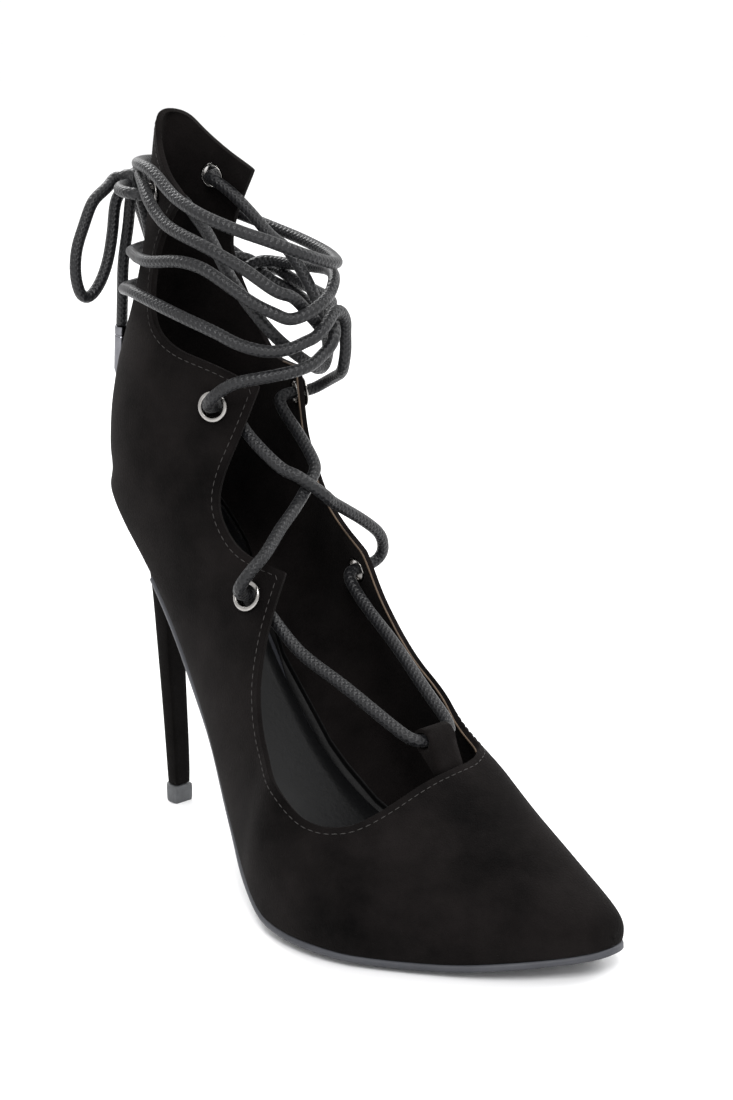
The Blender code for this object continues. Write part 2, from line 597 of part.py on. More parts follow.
def add_cutter(name, mesh):
    data = bpy.data.meshes.new(name)
    mesh.to_mesh(data)
    mesh.free()
    thing = bpy.data.objects.new(name, data)
    bpy.context.scene.collection.objects.link(thing)
    thing.hide_render = True
    thing.display_type = "WIRE"
    return thing


def cut(thing, cutter):
    boolean = thing.modifiers.new(cutter.name, "BOOLEAN")
    boolean.operation = "DIFFERENCE"
    boolean.solver = "EXACT"
    boolean.object = cutter


def slope_normal(along):
    """Unit normal of the feather line in side view, pointing up."""
    step = 0.0005
    rise = (feather_up(along + step) - feather_up(along - step)) / (2 * step)
    size = np.hypot(rise, 1)
    return -rise / size, 1 / size


def sole_up(along, x):
    """Height of the seam between upper and sole at an x: across from feather line to feather line,
    lower in a flat middle."""
    outer, inner = float(feather_side(along, True)), float(feather_side(along, False))
    share = (x - outer) / max(inner - outer, clearance)
    low, high = float(feather_up(along, True)), float(feather_up(along, False))
    crown = ball_height * float(smooth_table(feather, 5, along / fore_length))
    return low + (high - low) * share - crown * min(1, min(share, 1 - share) / flat_share)


def across_sole(outer, inner):
    """X places across the sole: its edges and both ends of its flat middle."""
    return outer, outer + (inner - outer) * flat_share, inner - (inner - outer) * flat_share, inner


def sole_places(start, end, count):
    """Places from start to end, close together at both ends."""
    share = (1 - np.cos(np.linspace(0, math.pi, count))) / 2
    return start + (end - start) * share


def join_rows(mesh, rows):
    """Close rows of points round a solid into its faces, with both ends capped."""
    count = len(rows[0])
    for near, far in zip(rows, rows[1:]):
        for k in range(count):
            mesh.faces.new([near[k], near[(k + 1) % count], far[(k + 1) % count], far[k]])
    mesh.faces.new(rows[0])
    mesh.faces.new(rows[-1][::-1])
    bmesh.ops.recalc_face_normals(mesh, faces=mesh.faces)


def make_outsole():
    """Thin sole from the heel's breast to the toe, flat under the ball."""
    start = breast_along * fore_length
    along = sole_places(start, fore_length, sole_rows)
    normal_along, normal_up = slope_normal(along)
    outer = feather_side(along, True)
    inner = feather_side(along, False)
    reach = np.sqrt(np.clip((fore_length - along) / toe_blend, 0, 1))
    outer = outer - welt * reach
    inner = inner + welt * reach
    mesh = bmesh.new()
    rows = []
    for k, place in enumerate(along):
        row = []
        top, bottom = clearance, clearance + sole_thickness
        places = across_sole(outer[k], inner[k])
        for x, depth in [(x, top) for x in places] + [(x, bottom) for x in places[::-1]]:
            spot = -(place - normal_along[k] * depth)
            up = sole_up(place, x) - normal_up[k] * depth
            row.append(mesh.verts.new((x, spot, up)))
        rows.append(row)
    join_rows(mesh, rows)
    return add_object("outsole", mesh, "sole_rubber")


def make_insole():
    """Padded sole inside the wall, from the seat to the toe."""
    inset = wall + clearance
    breast, end = breast_along * fore_length, fore_length - 3.6 * inset
    over_sole = sole_places(breast, fore_length, sole_rows)
    over_seat = sole_places(seat_back + 2.2 * inset, breast, seat_rows)[:-1]
    along = np.concatenate([over_seat, over_sole[over_sole < end], [end]])
    normal_along, normal_up = slope_normal(along)
    mesh = bmesh.new()
    rows = []
    for k, place in enumerate(along):
        outer = feather_side(place, True) + inset
        inner = feather_side(place, False) - inset
        row = []
        above = across_sole(outer + insole_bevel, inner - insole_bevel)
        below = across_sole(outer, inner)[::-1]
        for x, rise in [(x, insole_thickness) for x in above] + [(x, 0) for x in below]:
            up = sole_up(place, x) + normal_up[k] * rise
            row.append(mesh.verts.new((x, -(place + normal_along[k] * rise), up)))
        rows.append(row)
    join_rows(mesh, rows)
    return add_object("insole", mesh, "lining")


def d_outline(seat):
    """Half of a D: share of depth from the back, and share of the half width."""
    shaft, flared = heel_outline[:, 1], heel_outline[:, 2]
    return heel_outline[:, 0], shaft * (1 - seat) + flared * seat


def heel_ring(front, back, half, middle, seat):
    """A closed ring between a front and a back point in side view, mirrored about its middle."""
    depth, width = d_outline(seat)
    along = back[0] + (front[0] - back[0]) * depth
    up = back[1] + (front[1] - back[1]) * depth
    right = [(middle + half * w, -a, u) for a, u, w in zip(along, up, width)]
    left = [(middle - half * w, -a, u) for a, u, w in zip(along[::-1], up[::-1], width[::-1])]
    return right + left[:-1]


def make_heel():
    """Covered heel: D sections from the top piece to the seat, which follows the feather line."""
    depth = heel_outline[:, 0]
    rings = []
    foot = heel_tip_depth / 2 - clearance
    foot_up = tip_height
    start = ((foot, foot_up), (-foot, foot_up), heel_tip_width / 2 - clearance, 0.0, 0.0)
    levels = [start]
    for front, front_up, back, back_up, half, middle, seat in heel_sections:
        front_point = (front * fore_length, front_up * heel_height)
        back_point = (back * fore_length, back_up * heel_height)
        levels.append((front_point, back_point, half * ball_width, middle * ball_width, seat))
    for front_point, back_point, half, middle, seat in levels:
        rings.append(heel_ring(front_point, back_point, half, middle, seat))
    breast = breast_along * fore_length - clearance
    along = seat_back + (breast - seat_back) * depth
    inner, outer = feather_side(along, False) + welt, feather_side(along, True) - welt
    right = [(x, -a, sole_up(a, x) - clearance) for a, x in zip(along, inner)]
    left = [(x, -a, sole_up(a, x) - clearance) for a, x in zip(along[::-1], outer[::-1])]
    right[0] = (0.0, -along[0], float(feather_up(along[0])) - clearance)
    rings.append(right + left[:-1])
    return add_object("heel", ring_solid(rings), "heel_suede")


def ring_solid(rings):
    """A closed solid through rings whose first point is at the back and which mirror left to right."""
    mesh = bmesh.new()
    made = [[mesh.verts.new(point) for point in ring] for ring in rings]
    count = len(made[0])
    for low, high in zip(made, made[1:]):
        for k in range(count):
            mesh.faces.new([low[k], low[(k + 1) % count], high[(k + 1) % count], high[k]])
    for ring in (made[0], made[-1]):
        mesh.faces.new([ring[0], ring[1], ring[-1]])
        for k in range(1, count // 2):
            mesh.faces.new([ring[k], ring[k + 1], ring[-k - 1], ring[-k]])
    bmesh.ops.recalc_face_normals(mesh, faces=mesh.faces)
    return mesh


def make_heel_tip():
    """Rubber top piece with the same D outline as the heel's end."""
    half_depth = heel_tip_depth / 2
    rings = []
    for up, grow in ((0.0, 0.0), (0.0004, 0.0003), (tip_height - clearance, 0.0003)):
        reach = half_depth + grow
        rings.append(heel_ring((reach, up), (-reach, up), heel_tip_width / 2 + grow, 0.0, 0.0))
    return add_object("heel_tip", ring_solid(rings), "tip_rubber")


def surface_frame(along, up, outer):
    """Point, outward normal and upward tangent of the upper's outside at a side view point."""
    step = 0.0008
    here = np.array([side_of_last(along, up, outer), -along, up], float)
    ahead = np.array([side_of_last(along + step, up, outer), -along - step, up], float)
    above = np.array([side_of_last(along, up + step, outer), -along, up + step], float)
    tangent_along, tangent_up = ahead - here, above - here
    normal = np.cross(tangent_along, tangent_up)
    normal = normal / np.linalg.norm(normal)
    if (normal[0] < 0) != outer:
        normal = -normal
    rise = tangent_up / np.linalg.norm(tangent_up)
    return here, normal, rise


def eyelet_spots():
    """Every eyelet's name and frame on the upper."""
    spots = {}
    for outer in (True, False):
        for name, (along, up) in eyelet_places.items():
            lift = inner_top_rise if name == "top" and not outer else 0.0
            frame = surface_frame(along * fore_length, float(level(up + lift)), outer)
            spots[f"eyelet_{name}_{'outer' if outer else 'inner'}"] = frame
    return spots


def spot_matrix(frame):
    """Placement whose Z is the wall's outward normal."""
    centre, normal, rise = (Vector(v) for v in frame)
    side = rise.cross(normal).normalized()
    rise = normal.cross(side)
    turn = Matrix((side, rise, normal)).transposed().to_4x4()
    return Matrix.Translation(centre) @ turn


def turned_ring(profile, matrix, segments):
    """A ring turned from a closed profile of radius and height about the placement's Z."""
    mesh = bmesh.new()
    made = []
    for k in range(segments):
        angle = 2 * math.pi * k / segments
        made.append([mesh.verts.new(matrix @ Vector((r * math.cos(angle), r * math.sin(angle), h)))
                     for r, h in profile])
    count = len(profile)
    for k in range(segments):
        near, far = made[k], made[(k + 1) % segments]
        for m in range(count):
            mesh.faces.new([near[m], near[(m + 1) % count], far[(m + 1) % count], far[m]])
    bmesh.ops.recalc_face_normals(mesh, faces=mesh.faces)
    return mesh


def make_eyelets(spots):
    """Each eyelet is a ring with a flange outside, its barrel through the wall."""
    hole, rim = eyelet_hole / 2, eyelet_outer / 2
    barrel = hole + barrel_wall
    lift = clearance + wall_sag
    profile = [
        (hole, -wall - barrel_end),
        (barrel, -wall - barrel_end),
        (barrel, lift),
        (rim, lift),
        (rim - 0.2 * eyelet_flange, lift + 0.6 * eyelet_flange),
        ((rim + hole) / 2, lift + eyelet_flange),
        (hole + 0.2 * eyelet_flange, lift + 0.8 * eyelet_flange),
        (hole, lift),
    ]
    for name, frame in spots.items():
        add_object(name, turned_ring(profile, spot_matrix(frame), eyelet_segments), "nickel", 50)


def make_upper(spots):
    """Hollow upper with a real wall and six round holes for the eyelets."""
    upper = add_object("upper", shell_sheet(ruling_spacing, steps_across), "suede")
    solidify = upper.modifiers.new("wall", "SOLIDIFY")
    solidify.thickness = wall
    solidify.offset = -1
    solidify.use_quality_normals = True
    radius = eyelet_hole / 2 + barrel_wall + clearance
    for name, frame in spots.items():
        cylinder = bmesh.new()
        bmesh.ops.create_cone(cylinder, cap_ends=True, segments=eyelet_segments, radius1=radius,
                              radius2=radius, depth=cutter_length, matrix=spot_matrix(frame))
        cut(upper, add_cutter(f"cut_{name}", cylinder))
    return upper


def tab_frame():
    """Placement of the tab's foot: X to the wearer's inner side, Y up the tab, Z toward the toe."""
    foot = Vector((tab_middle, -(tab_along), tab_foot_up))
    up_tab = Vector((0, math.sin(tab_lean), math.cos(tab_lean)))
    across = Vector((1, 0, 0))
    return Matrix.Translation(foot) @ Matrix((across, up_tab, across.cross(up_tab))).transposed().to_4x4()


def make_throat_tab():
    """Suede strap folded into a loop that stands at the throat; the lace runs through it."""
    outline = [(tab_thickness / 2, 0.0)]
    loop = tab_hole / 2 + tab_thickness / 2
    for k in range(tab_arc_steps + 1):
        angle = -tab_open + (math.pi + 2 * tab_open) * k / tab_arc_steps
        outline.append((loop * math.cos(angle), tab_hole_rise + loop * math.sin(angle)))
    outline.append((-tab_thickness / 2, 0.0))
    frame = tab_frame()
    mesh = bmesh.new()
    sides = []
    for x in (-tab_width / 2, tab_width / 2):
        sides.append([mesh.verts.new(frame @ Vector((x, rise, depth))) for depth, rise in outline])
    mesh.faces.new(sides[0])
    mesh.faces.new(sides[1][::-1])
    count = len(outline)
    for k in range(count):
        mesh.faces.new([sides[0][k], sides[0][(k + 1) % count], sides[1][(k + 1) % count], sides[1][k]])
    bmesh.ops.recalc_face_normals(mesh, faces=mesh.faces)
    tab = add_object("throat_tab", mesh, "suede")
    hole = bmesh.new()
    across = Matrix.Rotation(math.pi / 2, 4, "Y")
    place = frame @ Matrix.Translation((0, tab_hole_rise, 0)) @ across
    bmesh.ops.create_cone(hole, cap_ends=True, segments=eyelet_segments, radius1=tab_hole / 2,
                          radius2=tab_hole / 2, depth=cutter_length + tab_width, matrix=place)
    cut(tab, add_cutter("cut_throat_tab", hole))
    return tab


def route_curve(route, step):
    """Points on a smooth curve through a route of (side, along, up) in route_unit: the route's own
    and, in a stretch much longer than step, more between them."""
    points = np.array(route, float) * route_unit * (1, -1, 1)
    padded = np.vstack([2 * points[0] - points[1], points, 2 * points[-1] - points[-2]])
    curve = []
    for k in range(len(points) - 1):
        before, a, b, after = padded[k:k + 4]
        count = max(1, round(np.linalg.norm(b - a) / step))
        t = np.arange(count)[:, None] / count
        curve.append(0.5 * (2 * a + (b - before) * t + (2 * before - 5 * a + 4 * b - after) * t ** 2
                            + (3 * a - before - 3 * b + after) * t ** 3))
    return np.vstack([*curve, points[-1:]])


def add_cord(name, points, thickness, material_name):
    """A plain round tube along points."""
    curve = bpy.data.curves.new(name, "CURVE")
    curve.dimensions = "3D"
    curve.bevel_depth = thickness / 2
    curve.bevel_resolution = 2
    curve.use_fill_caps = True
    line = curve.splines.new("POLY")
    line.points.add(len(points) - 1)
    for spot, point in zip(line.points, points):
        spot.co = (*point, 1)
    line.use_smooth = True
    thing = bpy.data.objects.new(name, curve)
    bpy.context.scene.collection.objects.link(thing)
    thing.data.materials.append(made_materials[material_name])
    return thing


def make_lace_crossings():
    """Both halves of the lace from the throat tab to the knot, joined where they cross."""
    joined = None
    for route in (lace_outer_half, lace_inner_half):
        tube = add_cord("lace_strand", route_curve(route, lace_step * cord), cord, "lace_cord")
        bpy.context.view_layer.update()
        seen = tube.evaluated_get(bpy.context.evaluated_depsgraph_get())
        mesh = bmesh.new()
        mesh.from_mesh(bpy.data.meshes.new_from_object(seen))
        bmesh.ops.remove_doubles(mesh, verts=mesh.verts, dist=merge_distance)
        bpy.data.objects.remove(tube)
        if joined is None:
            joined = add_object("lace_crossings", mesh, "lace_cord", 60)
        else:
            other = add_cutter("lace_other_half", mesh)
            join = joined.modifiers.new("join", "BOOLEAN")
            join.operation = "UNION"
            join.solver = "EXACT"
            join.use_self = True
            join.object = other
    return joined


def make_knot():
    """The bow's knot as one plain rounded solid."""
    mesh = bmesh.new()
    side, along, up = (value * route_unit for value in knot_place)
    half = [value * cord for value in knot_halves]
    place = Matrix.Translation((side, -along, up)) @ Matrix.Diagonal((*half, 1))
    bmesh.ops.create_uvsphere(mesh, u_segments=12, v_segments=8, radius=1, matrix=place)
    return add_object("lace_knot", mesh, "lace_cord", 60)


def make_aglet(name, start, end):
    """A metal tip on the lace's end: a sleeve with a short cone."""
    start, end = (Vector(point) for point in (start, end))
    rise = (end - start).normalized()
    start = start + rise * clearance
    turn = rise.to_track_quat("Z", "Y").to_matrix().to_4x4()
    mesh = bmesh.new()
    rings = []
    for up, radius in ((0, aglet_width / 2), (aglet_length - aglet_cone, aglet_width / 2),
                       (aglet_length, aglet_point / 2)):
        place = Matrix.Translation(start) @ turn @ Matrix.Translation((0, 0, up))
        ring = []
        for k in range(aglet_segments):
            angle = 2 * math.pi * k / aglet_segments
            spot = Vector((radius * math.cos(angle), radius * math.sin(angle), 0))
            ring.append(mesh.verts.new(place @ spot))
        rings.append(ring)
    join_rows(mesh, rows=rings)
    return add_object(name, mesh, "gunmetal", 40)


def make_bow():
    """Knot, loops and ends of the bow behind the ankle, each a plain solid of its own."""
    make_knot()
    for name, route in bow_routes.items():
        points = route_curve(route, lace_step * cord)
        add_cord("lace_" + name, points, cord, "lace_cord")
        if name.startswith("end"):
            make_aglet(name.replace("end", "aglet"), points[-1], 2 * points[-1] - points[-2])


def main():
    for thing in list(bpy.data.objects):
        bpy.data.objects.remove(thing, do_unlink=True)
    for name in materials:
        made_materials[name] = material(name)
    spots = eyelet_spots()
    make_upper(spots)
    make_outsole()
    make_insole()
    make_heel()
    make_heel_tip()
    make_throat_tab()
    make_eyelets(spots)
    make_lace_crossings()
    make_bow()


main()
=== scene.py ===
import math

import bmesh
import bpy
import numpy as np
from mathutils import Matrix, Vector
from mathutils.bvhtree import BVHTree


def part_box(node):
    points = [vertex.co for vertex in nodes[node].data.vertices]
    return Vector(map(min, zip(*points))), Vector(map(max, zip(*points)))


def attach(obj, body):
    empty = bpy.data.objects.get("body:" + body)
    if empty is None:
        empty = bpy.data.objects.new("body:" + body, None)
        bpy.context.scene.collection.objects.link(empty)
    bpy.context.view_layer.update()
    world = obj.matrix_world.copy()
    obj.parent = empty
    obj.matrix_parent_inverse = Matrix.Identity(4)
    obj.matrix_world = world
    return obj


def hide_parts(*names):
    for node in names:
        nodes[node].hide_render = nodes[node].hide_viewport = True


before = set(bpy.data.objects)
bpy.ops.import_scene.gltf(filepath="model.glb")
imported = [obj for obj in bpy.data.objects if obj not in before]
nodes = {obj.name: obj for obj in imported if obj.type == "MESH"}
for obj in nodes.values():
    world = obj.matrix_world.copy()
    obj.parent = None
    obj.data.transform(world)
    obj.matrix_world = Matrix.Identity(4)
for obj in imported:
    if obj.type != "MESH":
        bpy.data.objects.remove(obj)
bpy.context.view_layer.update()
mm = 0.001
print("solids:", len(nodes))

# %% [markdown]
# ## The camera
#
# A still life keeps its look only from where it was taken, so the camera comes first.
# It stands in front of the toe and to the outer side, a little above the collar, and its long
# lens keeps the heel from shrinking.
# %% The camera
camera_place = Vector((-0.4287, -0.5454, 0.2713))
camera_aim = Vector((0.6637, 0.7019, -0.2585))
camera_data = bpy.data.cameras.new("camera")
camera_data.lens = 71.97
camera_data.sensor_width = 36
camera_data.clip_start = 0.01
camera = bpy.data.objects.new("camera", camera_data)
camera.location = camera_place
camera.rotation_euler = camera_aim.to_track_quat("-Z", "Y").to_euler()
bpy.context.scene.collection.objects.link(camera)
bpy.context.scene.camera = camera
print("camera: lens of %.1f mm, %.2f m above the floor" % (camera_data.lens, camera_place.z))

# %% [markdown]
# ## Finishes
#
# Every finish is a Principled shader with its own noise. What several of them share, a fine
# grain with slow patches, is one node group that is built once and set for each material.
# The group gives only values that change over the surface; gloss and sheen stay on the shader.
# %% A grain that every finish can use


def make_grain():
    """Node group: fine height and slow patches, both from 0 to 1."""
    group = bpy.data.node_groups.new("grain", "ShaderNodeTree")
    tree = group.interface
    tree.new_socket("Place", in_out="INPUT", socket_type="NodeSocketVector")
    for name, value in (("Fine", 1500.0), ("Slow", 40.0), ("Contrast", 1.0)):
        tree.new_socket(name, in_out="INPUT", socket_type="NodeSocketFloat").default_value = value
    tree.new_socket("Height", in_out="OUTPUT", socket_type="NodeSocketFloat")
    tree.new_socket("Patches", in_out="OUTPUT", socket_type="NodeSocketFloat")
    start = group.nodes.new("NodeGroupInput")
    end = group.nodes.new("NodeGroupOutput")
    link = group.links.new
    for output, scale, detail in (("Height", "Fine", 3.0), ("Patches", "Slow", 8.0)):
        noise = group.nodes.new("ShaderNodeTexNoise")
        noise.inputs["Detail"].default_value = detail
        noise.inputs["Roughness"].default_value = 0.62
        link(start.outputs["Place"], noise.inputs["Vector"])
        link(start.outputs[scale], noise.inputs["Scale"])
        if output == "Height":
            link(noise.outputs["Fac"], end.inputs[output])
            continue
        middle = group.nodes.new("ShaderNodeMath")
        middle.operation = "SUBTRACT"
        middle.inputs[1].default_value = 0.5
        stronger = group.nodes.new("ShaderNodeMath")
        stronger.operation = "MULTIPLY_ADD"
        stronger.inputs[2].default_value = 0.5
        stronger.use_clamp = True
        link(noise.outputs["Fac"], middle.inputs[0])
        link(middle.outputs[0], stronger.inputs[0])
        link(start.outputs["Contrast"], stronger.inputs[1])
        link(stronger.outputs[0], end.inputs[output])
    return group


grain = make_grain()


def finish(name, dark, light, rough, fine, slow, bump, contrast=2.0, **sockets):
    """Material between two colours and two roughnesses in slow patches, with a fine relief.

    fine and slow are the scales of relief and patches, bump is the relief's depth in metres,
    and sockets are values of the shader's own sockets."""
    made = bpy.data.materials.new(name)
    made.use_nodes = True
    tree = made.node_tree
    shader = tree.nodes["Principled BSDF"]
    link = tree.links.new
    coordinates = tree.nodes.new("ShaderNodeTexCoord")
    texture = tree.nodes.new("ShaderNodeGroup")
    texture.node_tree = grain
    texture.inputs["Fine"].default_value = fine
    texture.inputs["Slow"].default_value = slow
    texture.inputs["Contrast"].default_value = contrast
    link(coordinates.outputs["Object"], texture.inputs["Place"])
    colour = tree.nodes.new("ShaderNodeMix")
    colour.data_type = "RGBA"
    colour.inputs["A"].default_value = (*dark, 1)
    colour.inputs["B"].default_value = (*light, 1)
    link(texture.outputs["Patches"], colour.inputs["Factor"])
    link(colour.outputs["Result"], shader.inputs["Base Color"])
    gloss = tree.nodes.new("ShaderNodeMapRange")
    gloss.inputs["To Min"].default_value = rough[0]
    gloss.inputs["To Max"].default_value = rough[1]
    link(texture.outputs["Patches"], gloss.inputs["Value"])
    link(gloss.outputs["Result"], shader.inputs["Roughness"])
    relief = tree.nodes.new("ShaderNodeBump")
    relief.inputs["Distance"].default_value = bump
    link(texture.outputs["Height"], relief.inputs["Height"])
    link(relief.outputs["Normal"], shader.inputs["Normal"])
    for socket, value in sockets.items():
        shader.inputs[socket.replace("_", " ").title().replace("Ior", "IOR")].default_value = value
    return made


nap = {"sheen_roughness": 0.45, "sheen_tint": (0.40, 0.37, 0.36, 1), "specular_ior_level": 0.05}
suede = finish("black_suede", (0.0012, 0.0010, 0.0010), (0.0080, 0.0066, 0.0064),
               rough=(0.97, 0.88), fine=1700.0, slow=38.0, bump=0.00030, contrast=2.6,
               sheen_weight=0.055, **nap)
heel_suede = finish("heel_suede", (0.0016, 0.0014, 0.0013), (0.0048, 0.0042, 0.0040),
                    rough=(0.97, 0.88), fine=1900.0, slow=60.0, bump=0.00025, contrast=2.2,
                    sheen_weight=0.05, **nap)
lining = finish("black_lining", (0.0022, 0.0022, 0.0023), (0.0050, 0.0050, 0.0052),
                rough=(0.62, 0.48), fine=900.0, slow=55.0, bump=0.00012, specular_ior_level=0.16)
sock = finish("black_insole", (0.0030, 0.0031, 0.0034), (0.0070, 0.0071, 0.0076),
              rough=(0.42, 0.30), fine=700.0, slow=45.0, bump=0.00010, specular_ior_level=0.32)
sole = finish("grey_sole", (0.026, 0.027, 0.033), (0.048, 0.050, 0.058),
              rough=(0.62, 0.48), fine=1200.0, slow=50.0, bump=0.00010, specular_ior_level=0.4)
tip = finish("tip_rubber", (0.045, 0.047, 0.050), (0.080, 0.083, 0.088),
             rough=(0.70, 0.55), fine=1400.0, slow=300.0, bump=0.00015, contrast=1.6)
nickel = finish("nickel", (0.26, 0.25, 0.24), (0.40, 0.385, 0.37),
                rough=(0.18, 0.28), fine=2500.0, slow=500.0, bump=0.00001, contrast=1.6,
                metallic=1.0)
gunmetal = finish("gunmetal", (0.12, 0.12, 0.13), (0.20, 0.20, 0.215),
                  rough=(0.14, 0.24), fine=2500.0, slow=400.0, bump=0.00001, contrast=1.6,
                  metallic=1.0)
thread = finish("black_thread", (0.0080, 0.0068, 0.0062), (0.0180, 0.0150, 0.0135),
                rough=(0.70, 0.55), fine=4000.0, slow=900.0, bump=0.00005, contrast=1.6)
edge_leather = finish("lining_edge", (0.050, 0.031, 0.018), (0.120, 0.080, 0.050),
                      rough=(0.75, 0.60), fine=2600.0, slow=300.0, bump=0.00005)
print("finishes:", len(bpy.data.materials))

# %% [markdown]
# ## Smoother skins over the solids
#
# The solids are made of few faces. A copy gets its pairs of triangles joined into quads again and
# one or two levels of a subdivision surface, with creases where the solid has a real edge, so the
# curved parts turn round and the cut edges stay crisp.
# %% A finer copy of a solid
edge_turn = math.radians(42)
same_point = 1e-6
flat_turn, square_turn = math.radians(12), math.radians(60)


def clean_copy(name):
    """Merged mesh of a solid, its pairs of triangles joined into quads, as a bmesh."""
    mesh = bmesh.new()
    mesh.from_mesh(nodes[name].data)
    bmesh.ops.remove_doubles(mesh, verts=mesh.verts, dist=same_point)
    bmesh.ops.join_triangles(mesh, faces=mesh.faces, angle_face_threshold=flat_turn,
                             angle_shape_threshold=square_turn)
    mesh.normal_update()
    return mesh


def link_mesh(name, data, *materials):
    """Object with a mesh and its materials, at the origin."""
    thing = bpy.data.objects.new(name, data)
    bpy.context.scene.collection.objects.link(thing)
    data.materials.clear()
    for material in materials:
        data.materials.append(material)
    return thing


def settle(thing):
    """The object with its modifiers applied."""
    seen = thing.evaluated_get(bpy.context.evaluated_depsgraph_get())
    data = bpy.data.meshes.new_from_object(seen)
    name, materials = thing.name, list(thing.data.materials)
    bpy.data.objects.remove(thing)
    return link_mesh(name, data, *materials)


def place(piece, slot, *replaced):
    """Hide the solids that a piece replaces and hang the piece on the root body; slot is not used.
    """
    if replaced:
        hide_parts(*replaced)
    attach(piece, "root")


def finer(name, mesh, levels, crease, *materials):
    """Subdivided piece from a bmesh, creased where its faces turn by more than edge_turn."""
    layer = mesh.edges.layers.float.get("crease_edge") or mesh.edges.layers.float.new("crease_edge")
    for edge in mesh.edges:
        if len(edge.link_faces) == 2 and edge.calc_face_angle() > edge_turn:
            edge[layer] = crease
    data = bpy.data.meshes.new(name)
    mesh.to_mesh(data)
    mesh.free()
    data.shade_smooth()
    piece = link_mesh(name, data, *materials)
    rounder = piece.modifiers.new("rounder", "SUBSURF")
    rounder.levels = levels
    rounder.render_levels = levels
    return settle(piece)


# %% [markdown]
# ## The upper
#
# The upper is one skin of suede outside and smooth lining inside. On the solid both are one
# shell, so the faces are told apart: parts that meet without a sharp edge belong together, and a
# part whose faces look away from the foot's middle is suede.
# %% Which faces look at the foot
foot_line = [Vector((0, -along * mm, up * mm)) for along, up in (
    (186, 10), (150, 20), (120, 32), (90, 56), (60, 84), (32, 112), (24, 140), (14, 170),
    (8, 205), (4, 232))]


def nearest_on_line(point):
    """The point of foot_line that lies nearest."""
    best = None
    for a, b in zip(foot_line, foot_line[1:]):
        share = max(0.0, min(1.0, (point - a).dot(b - a) / (b - a).length_squared))
        spot = a.lerp(b, share)
        if best is None or (point - spot).length < (point - best).length:
            best = spot
    return best


def islands(mesh):
    """Groups of faces that meet without a sharp edge, each with its area and how far it looks out.

    Dictionaries keep the order of what they hold, so that every run gives the same result."""
    left = dict.fromkeys(mesh.faces)
    found = []
    while left:
        start = next(iter(left))
        del left[start]
        group = {start: None}
        ring = [start]
        while ring:
            face = ring.pop()
            for edge in face.edges:
                if len(edge.link_faces) != 2 or edge.calc_face_angle() > edge_turn:
                    continue
                for other in edge.link_faces:
                    if other in left:
                        del left[other]
                        group[other] = None
                        ring.append(other)
        area = sum(face.calc_area() for face in group)
        out = 0.0
        for face in group:
            middle = face.calc_center_median()
            outward = (middle - nearest_on_line(middle)).normalized()
            out += face.calc_area() * face.normal.dot(outward)
        found.append((area, out / area, group))
    return sorted(found, key=lambda item: -item[0])


upper_mesh = clean_copy("upper")
upper_islands = islands(upper_mesh)
for area, out, _ in upper_islands[:6]:
    print("part of the upper: %.0f square mm, looks out %.2f" % (area * 1e6, out))
outer_faces = upper_islands[0][2] if upper_islands[0][1] > 0 else upper_islands[1][2]
inner_faces = upper_islands[1][2] if outer_faces is upper_islands[0][2] else upper_islands[0][2]
for face in inner_faces:
    face.material_index = 1

# %% [markdown]
# ## Where the edges run
#
# Stitches and the lining's cut edge follow the rim of the opening, so the rim is read from the
# shell before it is subdivided: the closed chains of edges between the outer skin and the rim.
# %% Chains of edges


def chains_between(skin):
    """Closed chains of points where a skin meets its rim, with the skin's normal at each."""
    edges = []
    for edge in dict.fromkeys(e for face in skin for e in face.edges):
        inside = [face for face in edge.link_faces if face in skin]
        if len(edge.link_faces) == 2 and len(inside) == 1:
            edges.append((edge, inside[0]))
    by_vert = {}
    for edge, face in edges:
        for vert in edge.verts:
            by_vert.setdefault(vert, []).append((edge, face))
    left = dict.fromkeys(edge for edge, face in edges)
    chains = []
    while left:
        edge = next(iter(left))
        vert = edge.verts[0]
        chain = []
        while edge is not None:
            del left[edge]
            face = next(f for e, f in by_vert[vert] if e is edge)
            chain.append((vert.co.copy(), face.normal.copy()))
            vert = edge.other_vert(vert)
            edge = next((e for e, f in by_vert[vert] if e in left), None)
        chains.append(chain)
    return sorted(chains, key=lambda c: -len(c))


def longest_high(chains):
    """The opening's chain: of the two longest, the higher one."""
    return max(chains[:2], key=lambda c: sum(p.z for p, n in c) / len(c))


def longest_low(chains):
    """The foot's chain, where the sole closes the upper."""
    return min(chains[:2], key=lambda c: sum(p.z for p, n in c) / len(c))


outer_rim = longest_high(chains_between(outer_faces))
inner_rim = longest_high(chains_between(inner_faces))
outer_foot = longest_low(chains_between(outer_faces))
inner_foot = longest_low(chains_between(inner_faces))
print("rim points:", len(outer_rim), len(inner_rim))
upper = finer("suede_upper", upper_mesh, 2, 0.85, suede, lining)
place(upper, "suede", "upper")
skin = BVHTree.FromPolygons([v.co for v in upper.data.vertices],
                            [p.vertices[:] for p in upper.data.polygons])
print("upper faces:", len(upper.data.polygons))

# %% [markdown]
# ## The lasting margin
#
# A maker pulls the upper's lower edge round the last and glues it flat between insole and sole.
# A thin strip does the same here: down the inside of the wall, under its edge and a few
# millimetres in over the sole, so that no light comes in under the wall.
# %% The strip under the wall


def solid_tree(name):
    """Search tree of a solid's faces."""
    data = nodes[name].data
    return BVHTree.FromPolygons([v.co for v in data.vertices],
                                [p.vertices[:] for p in data.polygons])


